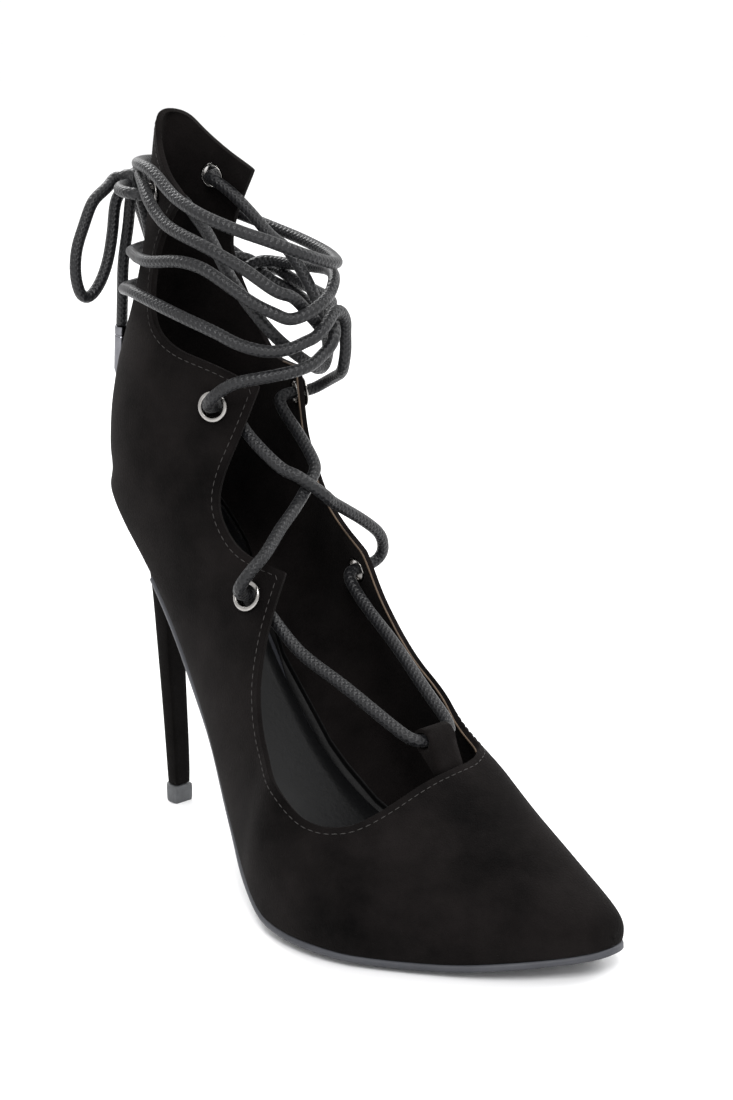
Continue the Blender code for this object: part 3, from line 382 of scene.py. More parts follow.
margin_width = 5 * mm
margin_thickness = 0.12 * mm
margin_height = 1.2 * mm
margin_off_wall = 0.15 * mm
margin_off_edge = 0.3 * mm
hair = 0.1 * mm
drop_height = 12 * mm
up = Vector((0, 0, 1))
sole_trees = solid_tree("outsole"), solid_tree("heel")
inner_count = len(inner_foot)
inner_tree = BVHTree.FromPolygons(
    [p for p, n in inner_foot] + [p + up * hair for p, n in inner_foot],
    [(k - 1, k, k + inner_count, k - 1 + inner_count) for k in range(1, inner_count)])
margin = bmesh.new()
rows = []
for point, _ in outer_foot:
    near = inner_tree.find_nearest(point)[0]
    inward = nearest_on_line(point) - point
    inward.z = 0
    inward.normalize()
    spot = point + inward * margin_width
    hits = [tree.ray_cast(spot + up * drop_height, -up) for tree in sole_trees]
    tops = [hit[0] for hit in hits if hit[0] is not None]
    low = max(tops, key=lambda top: top.z) if tops else spot
    rows.append([margin.verts.new(corner) for corner in (
        near + up * margin_height + inward * margin_off_wall,
        near + inward * hair,
        point.lerp(near, 0.15),
        point - up * hair + inward * margin_off_edge,
        low + up * margin_thickness)])
for near, far in zip(rows, rows[1:] + rows[:1]):
    for k in range(len(near) - 1):
        margin.faces.new([near[k], near[k + 1], far[k + 1], far[k]])
margin_data = bpy.data.meshes.new("lasting_margin")
margin.to_mesh(margin_data)
margin.free()
margin_data.shade_smooth()
strip = link_mesh("lasting_margin", margin_data, lining)
body = strip.modifiers.new("body", "SOLIDIFY")
body.thickness = margin_thickness
body.offset = 0
strip = settle(strip)
place(strip, "lining")
print("lasting margin:", len(strip.data.polygons), "faces")

# %% [markdown]
# ## Stitches
#
# A row of stitches runs about two millimetres inside the opening's edge. Geometry Nodes lay one
# small thread body at each step of a curve and turn it along the curve, which suits anything
# that repeats along a path.
# %% The row of stitches


def even(points, step, closed, soft=0.0):
    """Points every step along a chain, softened over a distance of soft."""
    points = np.array(points, float)
    if closed:
        points = np.vstack([points, points[:1]])
    run = np.concatenate([[0], np.cumsum(np.linalg.norm(np.diff(points, axis=0), axis=1))])
    count = max(2, round(run[-1] / step))
    places = np.linspace(0, run[-1], count + (not closed), endpoint=not closed)
    points = np.stack([np.interp(places, run, points[:, k]) for k in range(3)], axis=1)
    reach = int(round(3 * soft / step))
    if reach:
        weight = np.exp(-0.5 * (np.arange(-reach, reach + 1) * step / soft) ** 2)
        weight /= weight.sum()
        mode = "wrap" if closed else "edge"
        if not closed:
            ends = points[0].copy(), points[-1].copy()
        padded = np.pad(points, ((reach, reach), (0, 0)), mode)
        points = np.stack([np.convolve(padded[:, k], weight, "valid") for k in range(3)], axis=1)
        if not closed:
            points[0], points[-1] = ends
    return points


rim_step, rim_soft = 1.0 * mm, 0.8 * mm
seam_step, seam_soft = 0.8 * mm, 1.6 * mm


def inside_edge(rim, distance, lift):
    """Closed path on the outer skin, a distance from the rim and lifted a little off the suede."""
    points = even([p for p, n in rim], rim_step, True, rim_soft)
    path = []
    for k in range(len(points)):
        here = Vector(points[k])
        forward = Vector(points[(k + 1) % len(points)]) - Vector(points[k - 1])
        near = min(rim, key=lambda item: (item[0] - here).length_squared)
        inward = near[1].cross(forward).normalized()
        spots = []
        for side in (inward, -inward):
            hit, normal, _, gap = skin.find_nearest(here + side * distance)
            spots.append((gap, hit + normal * lift))
        path.append(min(spots, key=lambda item: item[0])[1])
    return even(path, seam_step, True, seam_soft)


def stitch_tree(material):
    """Geometry Nodes: thread bodies of a length and width at every step along a curve."""
    tree = bpy.data.node_groups.new("stitches", "GeometryNodeTree")
    face = tree.interface
    face.new_socket("Geometry", in_out="INPUT", socket_type="NodeSocketGeometry")
    for name in ("Step", "Length", "Width"):
        face.new_socket(name, in_out="INPUT", socket_type="NodeSocketFloat")
    face.new_socket("Geometry", in_out="OUTPUT", socket_type="NodeSocketGeometry")
    node, link = tree.nodes.new, tree.links.new
    start, end = node("NodeGroupInput"), node("NodeGroupOutput")
    resample = node("GeometryNodeResampleCurve")
    resample.mode = "LENGTH"
    ball = node("GeometryNodeMeshUVSphere")
    ball.inputs["Segments"].default_value = 8
    ball.inputs["Rings"].default_value = 6
    ball.inputs["Radius"].default_value = 0.5
    size = node("ShaderNodeCombineXYZ")
    stretch = node("GeometryNodeTransform")
    tangent = node("GeometryNodeInputTangent")
    turn = node("FunctionNodeAlignRotationToVector")
    turn.axis = "X"
    lay = node("GeometryNodeInstanceOnPoints")
    real = node("GeometryNodeRealizeInstances")
    paint = node("GeometryNodeSetMaterial")
    paint.inputs["Material"].default_value = material
    link(start.outputs["Geometry"], resample.inputs["Curve"])
    link(start.outputs["Step"], resample.inputs["Length"])
    link(start.outputs["Length"], size.inputs["X"])
    link(start.outputs["Width"], size.inputs["Y"])
    link(start.outputs["Width"], size.inputs["Z"])
    link(ball.outputs["Mesh"], stretch.inputs["Geometry"])
    link(size.outputs["Vector"], stretch.inputs["Scale"])
    link(tangent.outputs["Tangent"], turn.inputs["Vector"])
    link(resample.outputs["Curve"], lay.inputs["Points"])
    link(stretch.outputs["Geometry"], lay.inputs["Instance"])
    link(turn.outputs["Rotation"], lay.inputs["Rotation"])
    link(lay.outputs["Instances"], real.inputs["Geometry"])
    link(real.outputs["Geometry"], paint.inputs["Geometry"])
    link(paint.outputs["Geometry"], end.inputs["Geometry"])
    return tree


def closed_curve(name, points):
    """Curve object through points, from the last back to the first."""
    data = bpy.data.curves.new(name, "CURVE")
    data.dimensions = "3D"
    line = data.splines.new("POLY")
    line.points.add(len(points) - 1)
    for spot, point in zip(line.points, points):
        spot.co = (*point, 1)
    line.use_cyclic_u = True
    thing = bpy.data.objects.new(name, data)
    bpy.context.scene.collection.objects.link(thing)
    return thing


stitches = stitch_tree(thread)


def stitch_row(name, points, step, length, width):
    """Plain mesh of the stitches along a closed row of points."""
    row = closed_curve(name, points)
    sewing = row.modifiers.new("sewing", "NODES")
    sewing.node_group = stitches
    ids = {item.name: item.identifier for item in stitches.interface.items_tree
           if item.in_out == "INPUT"}
    for key, value in (("Step", step), ("Length", length), ("Width", width)):
        sewing[ids[key]] = value
    seen = row.evaluated_get(bpy.context.evaluated_depsgraph_get())
    data = bpy.data.meshes.new_from_object(seen)
    bpy.data.objects.remove(row)
    data.shade_smooth()
    return link_mesh(name, data, thread)


seam_inset = 2.1 * mm
seam_lift = 0.05 * mm
stitch_step, stitch_length, stitch_width = 2.5 * mm, 1.9 * mm, 0.30 * mm
seam = inside_edge(outer_rim, seam_inset, seam_lift)
topline = stitch_row("topline_stitches", seam, stitch_step, stitch_length, stitch_width)
place(topline, "suede")
print("stitches along the opening:", round(len(seam) * seam_step / stitch_step))

# %% [markdown]
# ## The lining's cut edge
#
# On the foot's inner side a thin light brown line shows where lining and suede meet.
# It is a tube, half a millimetre thick, along the lining's rim. The lace uses the same function.
# %% A tube along points


not_along = (0.3, 0.2, 0.93)


def tube(name, points, radius, sides, material):
    """Tube with closed ends and a UV map: round it as a share, and along it in metres.

    Each ring's first side is the last ring's, turned as little as the bend asks, so the map
    doesn't twist. not_along is only a direction that no line starts in."""
    points = np.array(points, float)
    ahead = np.gradient(points, axis=0)
    ahead /= np.linalg.norm(ahead, axis=1)[:, None]
    run = np.concatenate([[0], np.cumsum(np.linalg.norm(np.diff(points, axis=0), axis=1))])
    side = np.cross(ahead[0], not_along)
    mesh = bmesh.new()
    uv = mesh.loops.layers.uv.new("around_along")
    rings = []
    for point, way in zip(points, ahead):
        side = side - way * side.dot(way)
        side /= np.linalg.norm(side)
        across = np.cross(way, side)
        ring = []
        for j in range(sides):
            angle = 2 * math.pi * j / sides
            offset = math.cos(angle) * side + math.sin(angle) * across
            ring.append(mesh.verts.new(point + radius * offset))
        rings.append(ring)
    for near, far, *ends in zip(rings, rings[1:], run, run[1:]):
        for j in range(sides):
            face = mesh.faces.new([near[j], near[(j + 1) % sides], far[(j + 1) % sides], far[j]])
            corners = ((j, 0), (j + 1, 0), (j + 1, 1), (j, 1))
            for loop, (turn, end) in zip(face.loops, corners):
                loop[uv].uv = (turn / sides, ends[end])
    mesh.faces.new(rings[0][::-1])
    mesh.faces.new(rings[-1])
    mesh.normal_update()
    data = bpy.data.meshes.new(name)
    mesh.to_mesh(data)
    mesh.free()
    data.shade_smooth()
    return link_mesh(name, data, material)


# %% The brown line
brown_radius = 0.28 * mm
brown_side = 3 * mm
brown_back, brown_front = -34 * mm, -124 * mm
brown_step, brown_soft = 0.8 * mm, 0.8 * mm
rim = even([p for p, n in inner_rim], brown_step, True, brown_soft)
shown = (rim[:, 0] > brown_side) & (rim[:, 1] < brown_back) & (rim[:, 1] > brown_front)
first = np.flatnonzero(shown & ~np.roll(shown, 1))[0]
rim, shown = np.roll(rim, -first, axis=0), np.roll(shown, -first)
stop = np.flatnonzero(~shown)[0]
brown = tube("lining_edge", rim[:stop], brown_radius, 8, edge_leather)
place(brown, "lining")
print("brown line points:", stop)

# %% [markdown]
# ## Soles, heel, tip, tab and eyelets
#
# These keep their solids' shapes. Each gets a rounder copy, because light shows every flat face
# on a glossy or velvety surface. Only the insole changes: it is stuffed out by about a
# millimetre toward its sides, so that it meets the wall.
# %% The insole, stuffed out to the wall
insole_mesh = clean_copy("insole")
insole_reach = 1.1 * mm
insole_window = 6 * mm
insole_points = np.array(sorted((v.co.y, v.co.x) for v in insole_mesh.verts))
for vert in insole_mesh.verts:
    near = np.abs(insole_points[:, 0] - vert.co.y) < insole_window
    low, high = insole_points[near, 1].min(), insole_points[near, 1].max()
    share = (vert.co.x - low) / max(high - low, mm) * 2 - 1
    vert.co.x += insole_reach * share ** 3
insole = finer("insole_skin", insole_mesh, 1, 0.6, sock)
place(insole, "lining", "insole")

# %% The carried over pieces
skins = [  # node, material, slot, levels of subdivision, crease of its edges, added to its name
    ("outsole", sole, "sole_rubber", 1, 0.9, "_skin"),
    ("heel", heel_suede, "suede", 2, 0.8, "_skin"),
    ("heel_tip", tip, "tip_rubber", 2, 0.9, "_skin"),
    ("throat_tab", suede, "suede", 2, 0.7, "_skin"),
]
skins += [(node, nickel, "nickel", 1, 0.3, "_ring")
          for node in sorted(nodes) if node.startswith("eyelet_")]
for node, material, slot, levels, crease, added in skins:
    place(finer(node + added, clean_copy(node), levels, crease, material), slot, node)
print("pieces that keep their solids' shapes:", len(skins))

# %% [markdown]
# ## The lace
#
# One round braided cord of 3.7 mm runs from the tab through six eyelets and round the ankle
# to a bow. It is made as its two halves. Their routes are the solids' own, in millimetres: side
# toward the foot's inner side, along toward the toe, up.
# %% Routes
cord_width = 3.7 * mm
lace_outer_half = [
    (1.0, 120.0, 53.1), (-4.6, 120.0, 53.2), (-8.2, 116.0, 55.4),
    (-12.4, 96.0, 65.8), (-15.8, 81.4, 73.0), (-17.4, 72.4, 80.2), (-18.4, 64.5, 87.4),
    (-23.5, 65.6, 89.4),
    (-27.1, 66.4, 90.8), (-29.6, 68.9, 93.8), (-27.2, 71.8, 99.2), (-22.5, 72.5, 103.2),
    (-14.0, 69.8, 109.0), (-6.0, 68.2, 114.4), (0.0, 67.0, 118.6), (6.0, 63.5, 123.4),
    (9.2, 53.0, 131.0), (10.2, 44.6, 137.2), (12.0, 40.2, 141.2), (18.2, 42.9, 142.4),
    (21.8, 44.6, 142.9), (23.4, 49.0, 145.6), (22.4, 54.6, 148.2), (20.4, 59.6, 150.4),
    (18.8, 62.4, 154.0), (18.8, 63.2, 158.8), (17.8, 63.3, 163.4), (14.6, 64.4, 168.4),
    (10.3, 66.3, 170.2), (3.3, 68.3, 166.9), (-4.1, 67.2, 162.3), (-11.3, 63.0, 160.8),
    (-17.3, 56.0, 162.7), (-20.4, 50.2, 165.6), (-23.8, 39.6, 169.2), (-24.9, 31.1, 171.4),
    (-24.7, 20.8, 173.5), (-22.5, 11.5, 174.4), (-17.8, 2.6, 173.6), (-12.4, -5.4, 172.4),
    (-6.4, -10.9, 172.0), (1.0, -13.2, 172.4), (9.0, -10.2, 174.0), (17.0, -1.0, 176.0),
    (23.0, 12.0, 178.0), (26.0, 27.0, 179.6), (25.0, 42.0, 180.4), (21.0, 54.0, 180.8),
    (12.0, 65.4, 179.6), (7.2, 67.5, 175.3), (-1.5, 67.9, 172.2), (-8.7, 65.0, 171.7),
    (-14.1, 60.2, 174.6), (-18.9, 53.3, 180.0), (-22.1, 45.9, 184.5), (-24.2, 37.0, 186.0),
    (-25.0, 25.0, 184.8), (-21.3, 14.0, 184.6), (-15.9, 4.0, 185.0), (-11.0, -2.8, 184.2),
    (-5.0, -8.0, 184.0), (1.0, -10.0, 184.4), (9.0, -7.4, 184.6), (17.0, 1.0, 183.0),
    (23.5, 13.0, 179.0), (26.8, 28.0, 173.2), (25.8, 42.0, 166.0), (20.5, 53.4, 158.4),
    (11.2, 60.6, 152.8), (2.4, 62.3, 156.8), (-5.6, 60.2, 163.4), (-10.2, 56.4, 170.2),
    (-12.4, 51.0, 177.0), (-12.4, 44.4, 183.4), (-11.0, 34.5, 193.0), (-9.0, 24.2, 199.0),
    (-6.4, 17.0, 201.4), (-6.8, 11.4, 201.9), (-11.5, 9.8, 202.4), (-15.3, 8.5, 202.8),
    (-17.4, 4.6, 203.2), (-15.2, -2.4, 203.4), (-10.8, -8.0, 203.6), (-7.2, -10.8, 203.6),
]
lace_inner_half = [
    (1.0, 120.0, 53.1), (6.6, 120.0, 53.2), (9.8, 116.0, 55.2),
    (11.0, 106.0, 61.8), (13.4, 90.0, 72.2), (15.4, 74.6, 81.0), (17.6, 65.0, 88.2),
    (22.8, 65.6, 89.4),
    (26.6, 66.3, 90.2), (29.2, 68.2, 93.2), (26.8, 70.0, 99.8), (19.4, 70.4, 105.8),
    (9.0, 69.9, 112.4), (0.0, 67.0, 118.6), (-6.4, 60.4, 125.4), (-8.8, 51.0, 132.6),
    (-8.6, 43.6, 138.2), (-10.8, 40.0, 141.4), (-16.7, 42.9, 142.4), (-20.3, 44.7, 142.9),
    (-22.0, 48.0, 146.0),
    (-18.6, 54.2, 151.0), (-13.1, 61.3, 153.1), (-5.9, 66.5, 154.7), (0.8, 68.3, 156.5),
    (6.0, 67.8, 160.3), (9.4, 66.6, 165.4), (14.0, 62.6, 169.6), (20.0, 54.0, 172.0),
    (24.6, 42.0, 173.4), (26.4, 28.0, 175.0), (24.2, 13.0, 178.6), (18.4, 0.6, 185.6),
    (10.4, -6.6, 194.4), (2.4, -8.6, 202.0), (-4.4, -5.4, 207.2), (-9.8, 1.2, 208.2),
    (-15.0, 9.0, 206.6), (-19.4, 17.4, 202.3), (-21.2, 24.4, 197.9), (-22.4, 32.4, 194.8),
    (-21.6, 47.3, 190.7), (-16.4, 57.3, 185.1), (-10.5, 63.6, 179.0), (-3.4, 67.3, 174.3),
    (5.6, 67.2, 167.9), (12.4, 63.4, 164.6), (17.2, 56.4, 166.4), (17.4, 49.4, 175.0),
    (15.2, 41.0, 186.4), (14.0, 34.8, 189.9), (12.6, 26.9, 196.6), (10.4, 20.4, 202.4),
    (8.6, 14.6, 206.0), (8.9, 11.0, 206.6), (12.7, 9.8, 207.1), (16.5, 8.5, 207.6),
    (18.4, 4.8, 208.2), (15.0, -1.4, 209.4), (8.0, -6.4, 210.6), (0.0, -7.6, 211.2),
    (-6.4, -3.6, 210.8), (-12.4, 3.6, 211.4), (-18.2, 12.6, 212.2), (-20.6, 21.5, 210.8),
    (-22.4, 32.0, 205.4), (-23.0, 39.8, 202.4), (-21.5, 47.5, 199.4), (-17.0, 56.4, 196.0),
    (-11.0, 63.2, 193.0), (-2.7, 67.7, 189.2), (5.3, 67.6, 186.5), (12.8, 65.0, 184.9),
    (18.6, 58.6, 184.8), (23.2, 49.0, 186.0), (25.6, 35.0, 188.4), (24.6, 20.0, 191.6),
    (20.5, 7.0, 195.4), (14.2, -4.8, 199.4), (8.8, -9.6, 201.8),
    (4.0, -12.0, 203.2),
]
bow_routes = {
    "loop_outer": [
        (-4.8, -18.2, 206.2), (-7.2, -17.6, 203.8), (-10.6, -17.0, 201.8), (-15.0, -17.0, 198.7),
        (-18.8, -17.0, 191.2), (-22.1, -16.5, 184.3), (-23.2, -16.0, 176.6), (-21.4, -16.0, 170.0),
        (-18.7, -16.0, 168.8), (-14.5, -16.0, 172.3), (-10.3, -16.6, 179.2), (-7.2, -17.6, 188.3),
        (-5.2, -18.6, 196.4), (-3.4, -18.2, 200.8),
    ],
    "loop_inner": [
        (1.4, -17.8, 205.9), (7.0, -18.6, 207.0), (12.6, -17.6, 203.4), (17.4, -16.2, 194.4),
        (20.2, -15.6, 184.0), (19.6, -16.2, 175.8), (16.0, -18.0, 172.2), (12.6, -19.6, 177.0),
        (9.8, -20.2, 185.2), (6.6, -20.2, 194.2), (2.8, -18.8, 200.6),
    ],
    "end_outer": [
        (-2.0, -14.6, 198.6), (-3.0, -14.8, 190.6), (-4.4, -16.0, 179.2), (-4.2, -17.2, 168.6),
        (-3.6, -18.8, 158.6),
    ],
    "end_inner": [
        (2.2, -14.6, 199.1), (4.8, -14.8, 191.2), (7.2, -15.2, 179.6), (8.0, -17.0, 169.6),
        (8.2, -19.8, 161.0), (8.2, -21.4, 155.0),
    ],
}

# %% [markdown]
# ## From a route to a line
#
# A route has one point every centimetre or so. A curve that passes through each of them, and
# bends between two by where their neighbours lie, gives the line that the cord follows.
# %% A smooth line through a route
points_between = 16


def smooth_route(route, step, soft):
    """Points on a smooth line through (side, along, up) points in millimetres."""
    points = np.array(route, float) * mm * (1, -1, 1)
    padded = np.vstack([2 * points[0] - points[1], points, 2 * points[-1] - points[-2]])
    share = np.linspace(0, 1, points_between, endpoint=False)[:, None]
    fine = []
    for k in range(len(points) - 1):
        before, a, b, after = padded[k:k + 4]
        fine.append(0.5 * (2 * a + (b - before) * share
                           + (2 * before - 5 * a + 4 * b - after) * share ** 2
                           + (3 * a - before - 3 * b + after) * share ** 3))
    return even(np.vstack([*fine, points[-1:]]), step, False, soft)


# %% [markdown]
# ## Strands lie on each other
#
# The routes cross at their centrelines. A real lace can't, so points that come nearer than one
# cord's width are moved apart a little, again and again, and each move is spread along the
# strand. Points in an eyelet, the tab or the knot stay, and what moves stays off the suede.
# %% Moving the strands apart
still_reach = {"eyelet": 5.0 * mm, "throat_tab": 7.0 * mm, "lace_knot": 8.0 * mm}
still_fade = 4 * mm
ankle_middle = np.array([2.0, -27.3, 0]) * mm
first_shift = 0.1 * mm
loose, quite_loose = 0.2, 0.9
spread_steps, spread_length = 6, 3.2 * mm
skin_share = 0.54


def fixed_places():
    """Middles of eyelets, tab and knot, each with how far round it nothing moves."""
    places = []
    for name in nodes:
        for start, reach in still_reach.items():
            if name.startswith(start):
                low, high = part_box(name)
                places.append(((np.array(low) + np.array(high)) / 2, reach))
    return places


def spread_strands(lines, width, rounds):
    """The lines with their strands moved apart to width where they cross.

    Points of one strand that are near along it don't push each other. At the first step both
    halves part by a hair, so that even lines that meet in a point have a way to go. A strand
    keeps skin_share of its width between its middle and the suede."""
    counts = np.cumsum([0] + [len(line) for line in lines])
    points = np.vstack(lines)
    strand = np.repeat(np.arange(len(lines)), [len(line) for line in lines])
    order = np.concatenate([np.arange(len(line)) for line in lines])
    step = np.linalg.norm(lines[0][1] - lines[0][0])
    free = np.ones(len(points))
    for still, reach in fixed_places():
        gap = np.linalg.norm(points - still, axis=1)
        free = np.minimum(free, np.clip((gap - reach) / still_fade, 0, 1))
    apart = (strand[:, None] != strand[None]) | (
        np.abs(order[:, None] - order[None]) * step > 4 * width)
    outward = (points - ankle_middle) * (1, 1, 0)
    outward /= np.linalg.norm(outward, axis=1)[:, None]
    points = points + outward * np.where(strand, first_shift, -first_shift)[:, None]
    weight = np.exp(-0.5 * (np.arange(-spread_steps, spread_steps + 1)
                            * step / spread_length) ** 2)
    every = np.arange(len(points))
    for _ in range(rounds):
        ways = points[:, None] - points[None]
        gaps = np.where(apart, np.sqrt((ways ** 2).sum(2)) + 1e-9, 1.0)
        other = gaps.argmin(1)
        near = gaps[every, other]
        push = ways[every, other] / near[:, None]
        push *= np.clip(width - near, 0, width)[:, None] * 0.5 * free[:, None]
        for a, b in zip(counts, counts[1:]):
            total = np.stack([np.convolve(push[a:b, k], weight, "same") for k in range(3)], axis=1)
            share = np.convolve((np.abs(push[a:b]).sum(1) > 0).astype(float), weight, "same")
            points[a:b] += total / np.maximum(share, 1)[:, None] * free[a:b, None]
        for k in np.flatnonzero(free > loose):
            hit, _, _, gap = skin.find_nearest(Vector(points[k]), width)
            if hit is not None and 1e-6 < gap < skin_share * width:
                points[k] += np.array(Vector(points[k]) - hit) / gap * (skin_share * width - gap)
    gaps = np.where(apart, np.sqrt(((points[:, None] - points[None]) ** 2).sum(2)), 1.0)
    print("nearest strands after moving: %.1f mm" % (gaps[free > quite_loose].min() * 1000))
    return [points[a:b] for a, b in zip(counts, counts[1:])]


# %% [markdown]
# ## Waxed braid
#
# The weave is two sets of ridges that cross as they wind round the cord. The tube's UV map gives
# the way round and the way along, so the pattern bends with the cord.
# %% The cord's finish
braid_strands = 12
braid_pitch = 1.7 * mm
braid_relief = 0.2 * mm


def braid_finish():
    """Dark waxed cord: raised where a strand lies on top, with a painted bluish highlight there,
    patchy by noise, and painted shade in the grooves between strands.
    """
    made = bpy.data.materials.new("waxed_braid")
    made.use_nodes = True
    tree = made.node_tree
    link = tree.links.new
    shader = tree.nodes["Principled BSDF"]
    shader.inputs["Specular IOR Level"].default_value = 0.34
    shader.inputs["Sheen Weight"].default_value = 0.05
    shader.inputs["Sheen Roughness"].default_value = 0.4
    uv = tree.nodes.new("ShaderNodeUVMap")
    uv.uv_map = "around_along"
    split = tree.nodes.new("ShaderNodeSeparateXYZ")
    link(uv.outputs["UV"], split.inputs["Vector"])

    def maths(operation, first, second=None, third=None):
        node = tree.nodes.new("ShaderNodeMath")
        node.operation = operation
        for k, value in enumerate((first, second, third)):
            if value is None:
                continue
            if isinstance(value, (int, float)):
                node.inputs[k].default_value = value
            else:
                link(value, node.inputs[k])
        return node.outputs[0]

    around = maths("MULTIPLY", split.outputs["X"], math.pi * braid_strands)
    along = maths("MULTIPLY", split.outputs["Y"], 2 * math.pi / braid_pitch)
    one = maths("SINE", maths("ADD", around, along))
    two = maths("SINE", maths("SUBTRACT", around, along))
    over = maths("MAXIMUM", one, two)
    height = maths("MULTIPLY_ADD", over, 0.5, 0.5)
    noise = tree.nodes.new("ShaderNodeTexNoise")
    noise.inputs["Scale"].default_value = 260.0
    noise.inputs["Detail"].default_value = 4.0
    coordinates = tree.nodes.new("ShaderNodeTexCoord")
    link(coordinates.outputs["Object"], noise.inputs["Vector"])
    # Painted light: raised strands get a lighter bluish colour as a painted highlight, patchy by
    # noise, and the grooves stay dark as painted shade.
    painted_crest_light = maths("MULTIPLY", height, noise.outputs["Fac"])
    colour = tree.nodes.new("ShaderNodeMix")
    colour.data_type = "RGBA"
    colour.inputs["A"].default_value = (0.0022, 0.0022, 0.0026, 1)
    colour.inputs["B"].default_value = (0.0100, 0.0104, 0.0125, 1)
    link(painted_crest_light, colour.inputs["Factor"])
    link(colour.outputs["Result"], shader.inputs["Base Color"])
    gloss = tree.nodes.new("ShaderNodeMapRange")
    gloss.inputs["To Min"].default_value = 0.52
    gloss.inputs["To Max"].default_value = 0.30
    link(noise.outputs["Fac"], gloss.inputs["Value"])
    link(gloss.outputs["Result"], shader.inputs["Roughness"])
    relief = tree.nodes.new("ShaderNodeBump")
    relief.inputs["Distance"].default_value = braid_relief
    relief.inputs["Strength"].default_value = 0.8
    link(height, relief.inputs["Height"])
    link(relief.outputs["Normal"], shader.inputs["Normal"])
    return made


braid = braid_finish()
print("braid: %d strands, a pitch of %.1f mm" % (braid_strands, braid_pitch / mm))

# %% [markdown]
# ## Metal tips
#
# A lace's end is held by a metal sleeve with a pressed groove and a small cone. It is turned
# from a profile, as on a lathe.
# %% Turned metal tips
turned_sides = 32
tip_profile = [  # distance along the tip and radius there, in millimetres
    (0.3, 1.95), (0.35, 2.15), (0.7, 2.25), (3.0, 2.25), (3.2, 2.08), (3.6, 2.08),
    (3.8, 2.25), (14.6, 2.25), (15.0, 2.22), (20.0, 0.75), (20.4, 0.35), (20.5, 0.1)]


def turned(name, start, way, profile, material):
    """Piece turned round the line from start: profile is (distance along it, radius) in mm."""
    mesh = bmesh.new()
    turn = Vector(way).normalized().to_track_quat("Z", "Y").to_matrix().to_4x4()
    base = Matrix.Translation(start) @ turn
    rings = []
    for along, radius in profile:
        ring = []
        for k in range(turned_sides):
            angle = 2 * math.pi * k / turned_sides
            spot = Vector((radius * math.cos(angle), radius * math.sin(angle), along)) * mm
            ring.append(mesh.verts.new(base @ spot))
        rings.append(ring)
    for near, far in zip(rings, rings[1:]):
        for k in range(turned_sides):
            after = (k + 1) % turned_sides
            mesh.faces.new([near[k], near[after], far[after], far[k]])
    mesh.faces.new(rings[0][::-1])
    mesh.faces.new(rings[-1])
    bmesh.ops.recalc_face_normals(mesh, faces=mesh.faces)
    data = bpy.data.meshes.new(name)
    mesh.to_mesh(data)
    mesh.free()
    data.shade_smooth()
    data.set_sharp_from_angle(angle=math.radians(38))
    return link_mesh(name, data, material)


# %% [markdown]
# ## The knot
#
# The bow's knot is a short coil of the same cord, pulled over both halves.
# %% The knot
knot_spot = Vector((-1.6, 13.4, 203.6)) * mm
knot_turns, knot_steps, knot_start = 2.3, 24, 0.6
knot_width = 4.6 * mm
knot_depth, knot_height, knot_back = 2.75 * mm, 2.95 * mm, 0.2 * mm
coil = []
for k in range(int(knot_turns * knot_steps) + 1):
    angle = 2 * math.pi * k / knot_steps + knot_start
    shift = (k / knot_steps / knot_turns - 0.5) * knot_width
    coil.append(knot_spot + Vector((shift, knot_depth * math.cos(angle) + knot_back,
                                    knot_height * math.sin(angle))))
knot = tube("knot", even(coil, 0.4 * mm, False, 0.5 * mm), cord_width / 2, 18, braid)
place(knot, "cord", "lace_knot")
print("knot: %.1f turns" % knot_turns)

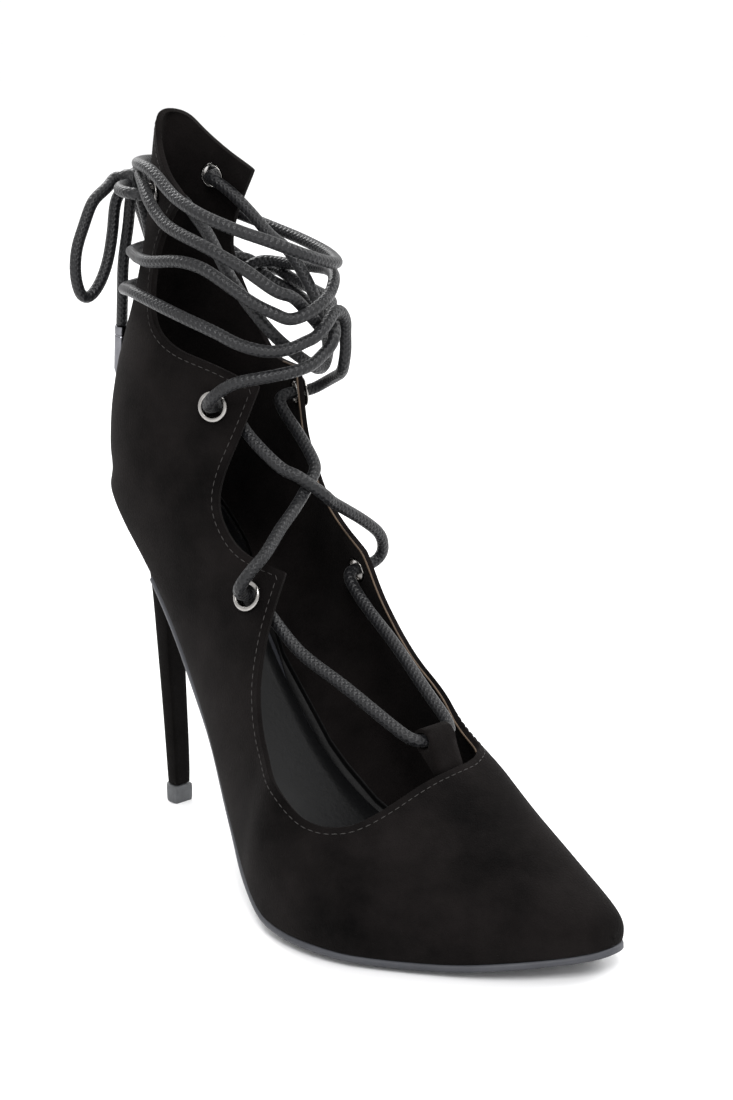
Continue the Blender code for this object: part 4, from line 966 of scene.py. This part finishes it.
# %% [markdown]
# ## Both halves of the lace
#
# Each half goes into the knot, out as a loop, back in and down as an end with its metal tip.
# The strands are moved apart on a coarse line, and the cord is made on a finer one.
# %% The halves
halves = {"outer": lace_outer_half, "inner": lace_inner_half}
inside_knot = {"outer": [(-3.2, -13.0, 203.9), (-1.2, -14.4, 202.4)],
               "inner": [(1.0, -12.9, 203.9), (0.4, -14.4, 202.2)]}
spread_rounds = 30
coarse_step, coarse_soft = 1.4 * mm, 1.3 * mm
cord_step, cord_soft = 0.7 * mm, 1.0 * mm
routes = []
for side, half in halves.items():
    into, back = inside_knot[side]
    route = [*half, into, *bow_routes["loop_" + side], back, *bow_routes["end_" + side]]
    routes.append(smooth_route(route, coarse_step, coarse_soft))
for side, coarse in zip(halves, spread_strands(routes, cord_width, spread_rounds)):
    line = even(coarse, cord_step, False, cord_soft)
    piece = tube("lace_" + side, line, cord_width / 2, 16, braid)
    aglet = turned("aglet_%s_sleeve" % side, line[-1], line[-1] - line[-3], tip_profile, gunmetal)
    place(aglet, "gunmetal", "aglet_" + side)
    solids = ["lace_loop_" + side, "lace_end_" + side]
    if side == "outer":
        solids.append("lace_crossings")
    place(piece, "cord", *solids)

# %% [markdown]
# ## Floor and light
#
# The shoe stands on a plain pale floor in soft light from a bright room and three soft lamps.
# %% The studio
floor_reach = 6
room_light = 1.06
lamp_size = 0.8
lamp_aim = Vector((0, -0.08, 0.1))
lamps = {"key": ((-0.9, -1.1, 1.5), 26), "fill": ((1.3, -0.6, 1.1), 12),
         "rim": ((0.3, 1.4, 1.3), 18)}
floor_data = bpy.data.meshes.new("floor")
floor_mesh = bmesh.new()
bmesh.ops.create_grid(floor_mesh, x_segments=1, y_segments=1, size=floor_reach)
floor_mesh.to_mesh(floor_data)
floor_mesh.free()
floor_finish = finish("pale_floor", (0.93, 0.93, 0.935), (0.95, 0.95, 0.955),
                      rough=(0.34, 0.40), fine=40.0, slow=2.0, bump=0.0, contrast=1.0,
                      specular_ior_level=0.35)
floor = link_mesh("floor", floor_data, floor_finish)

bpy.context.scene.view_settings.view_transform = "Standard"
world = bpy.data.worlds.new("studio")
bpy.context.scene.world = world
world.use_nodes = True
background = world.node_tree.nodes["Background"]
background.inputs["Color"].default_value = (1, 1, 1, 1)
background.inputs["Strength"].default_value = room_light
for name, (spot, power) in lamps.items():
    lamp_data = bpy.data.lights.new(name, "AREA")
    lamp_data.size = lamp_size
    lamp_data.energy = power
    lamp = bpy.data.objects.new(name, lamp_data)
    lamp.location = spot
    lamp.rotation_euler = (lamp_aim - Vector(spot)).to_track_quat("-Z", "Y").to_euler()
    bpy.context.scene.collection.objects.link(lamp)
print("lamps:", len(lamps))
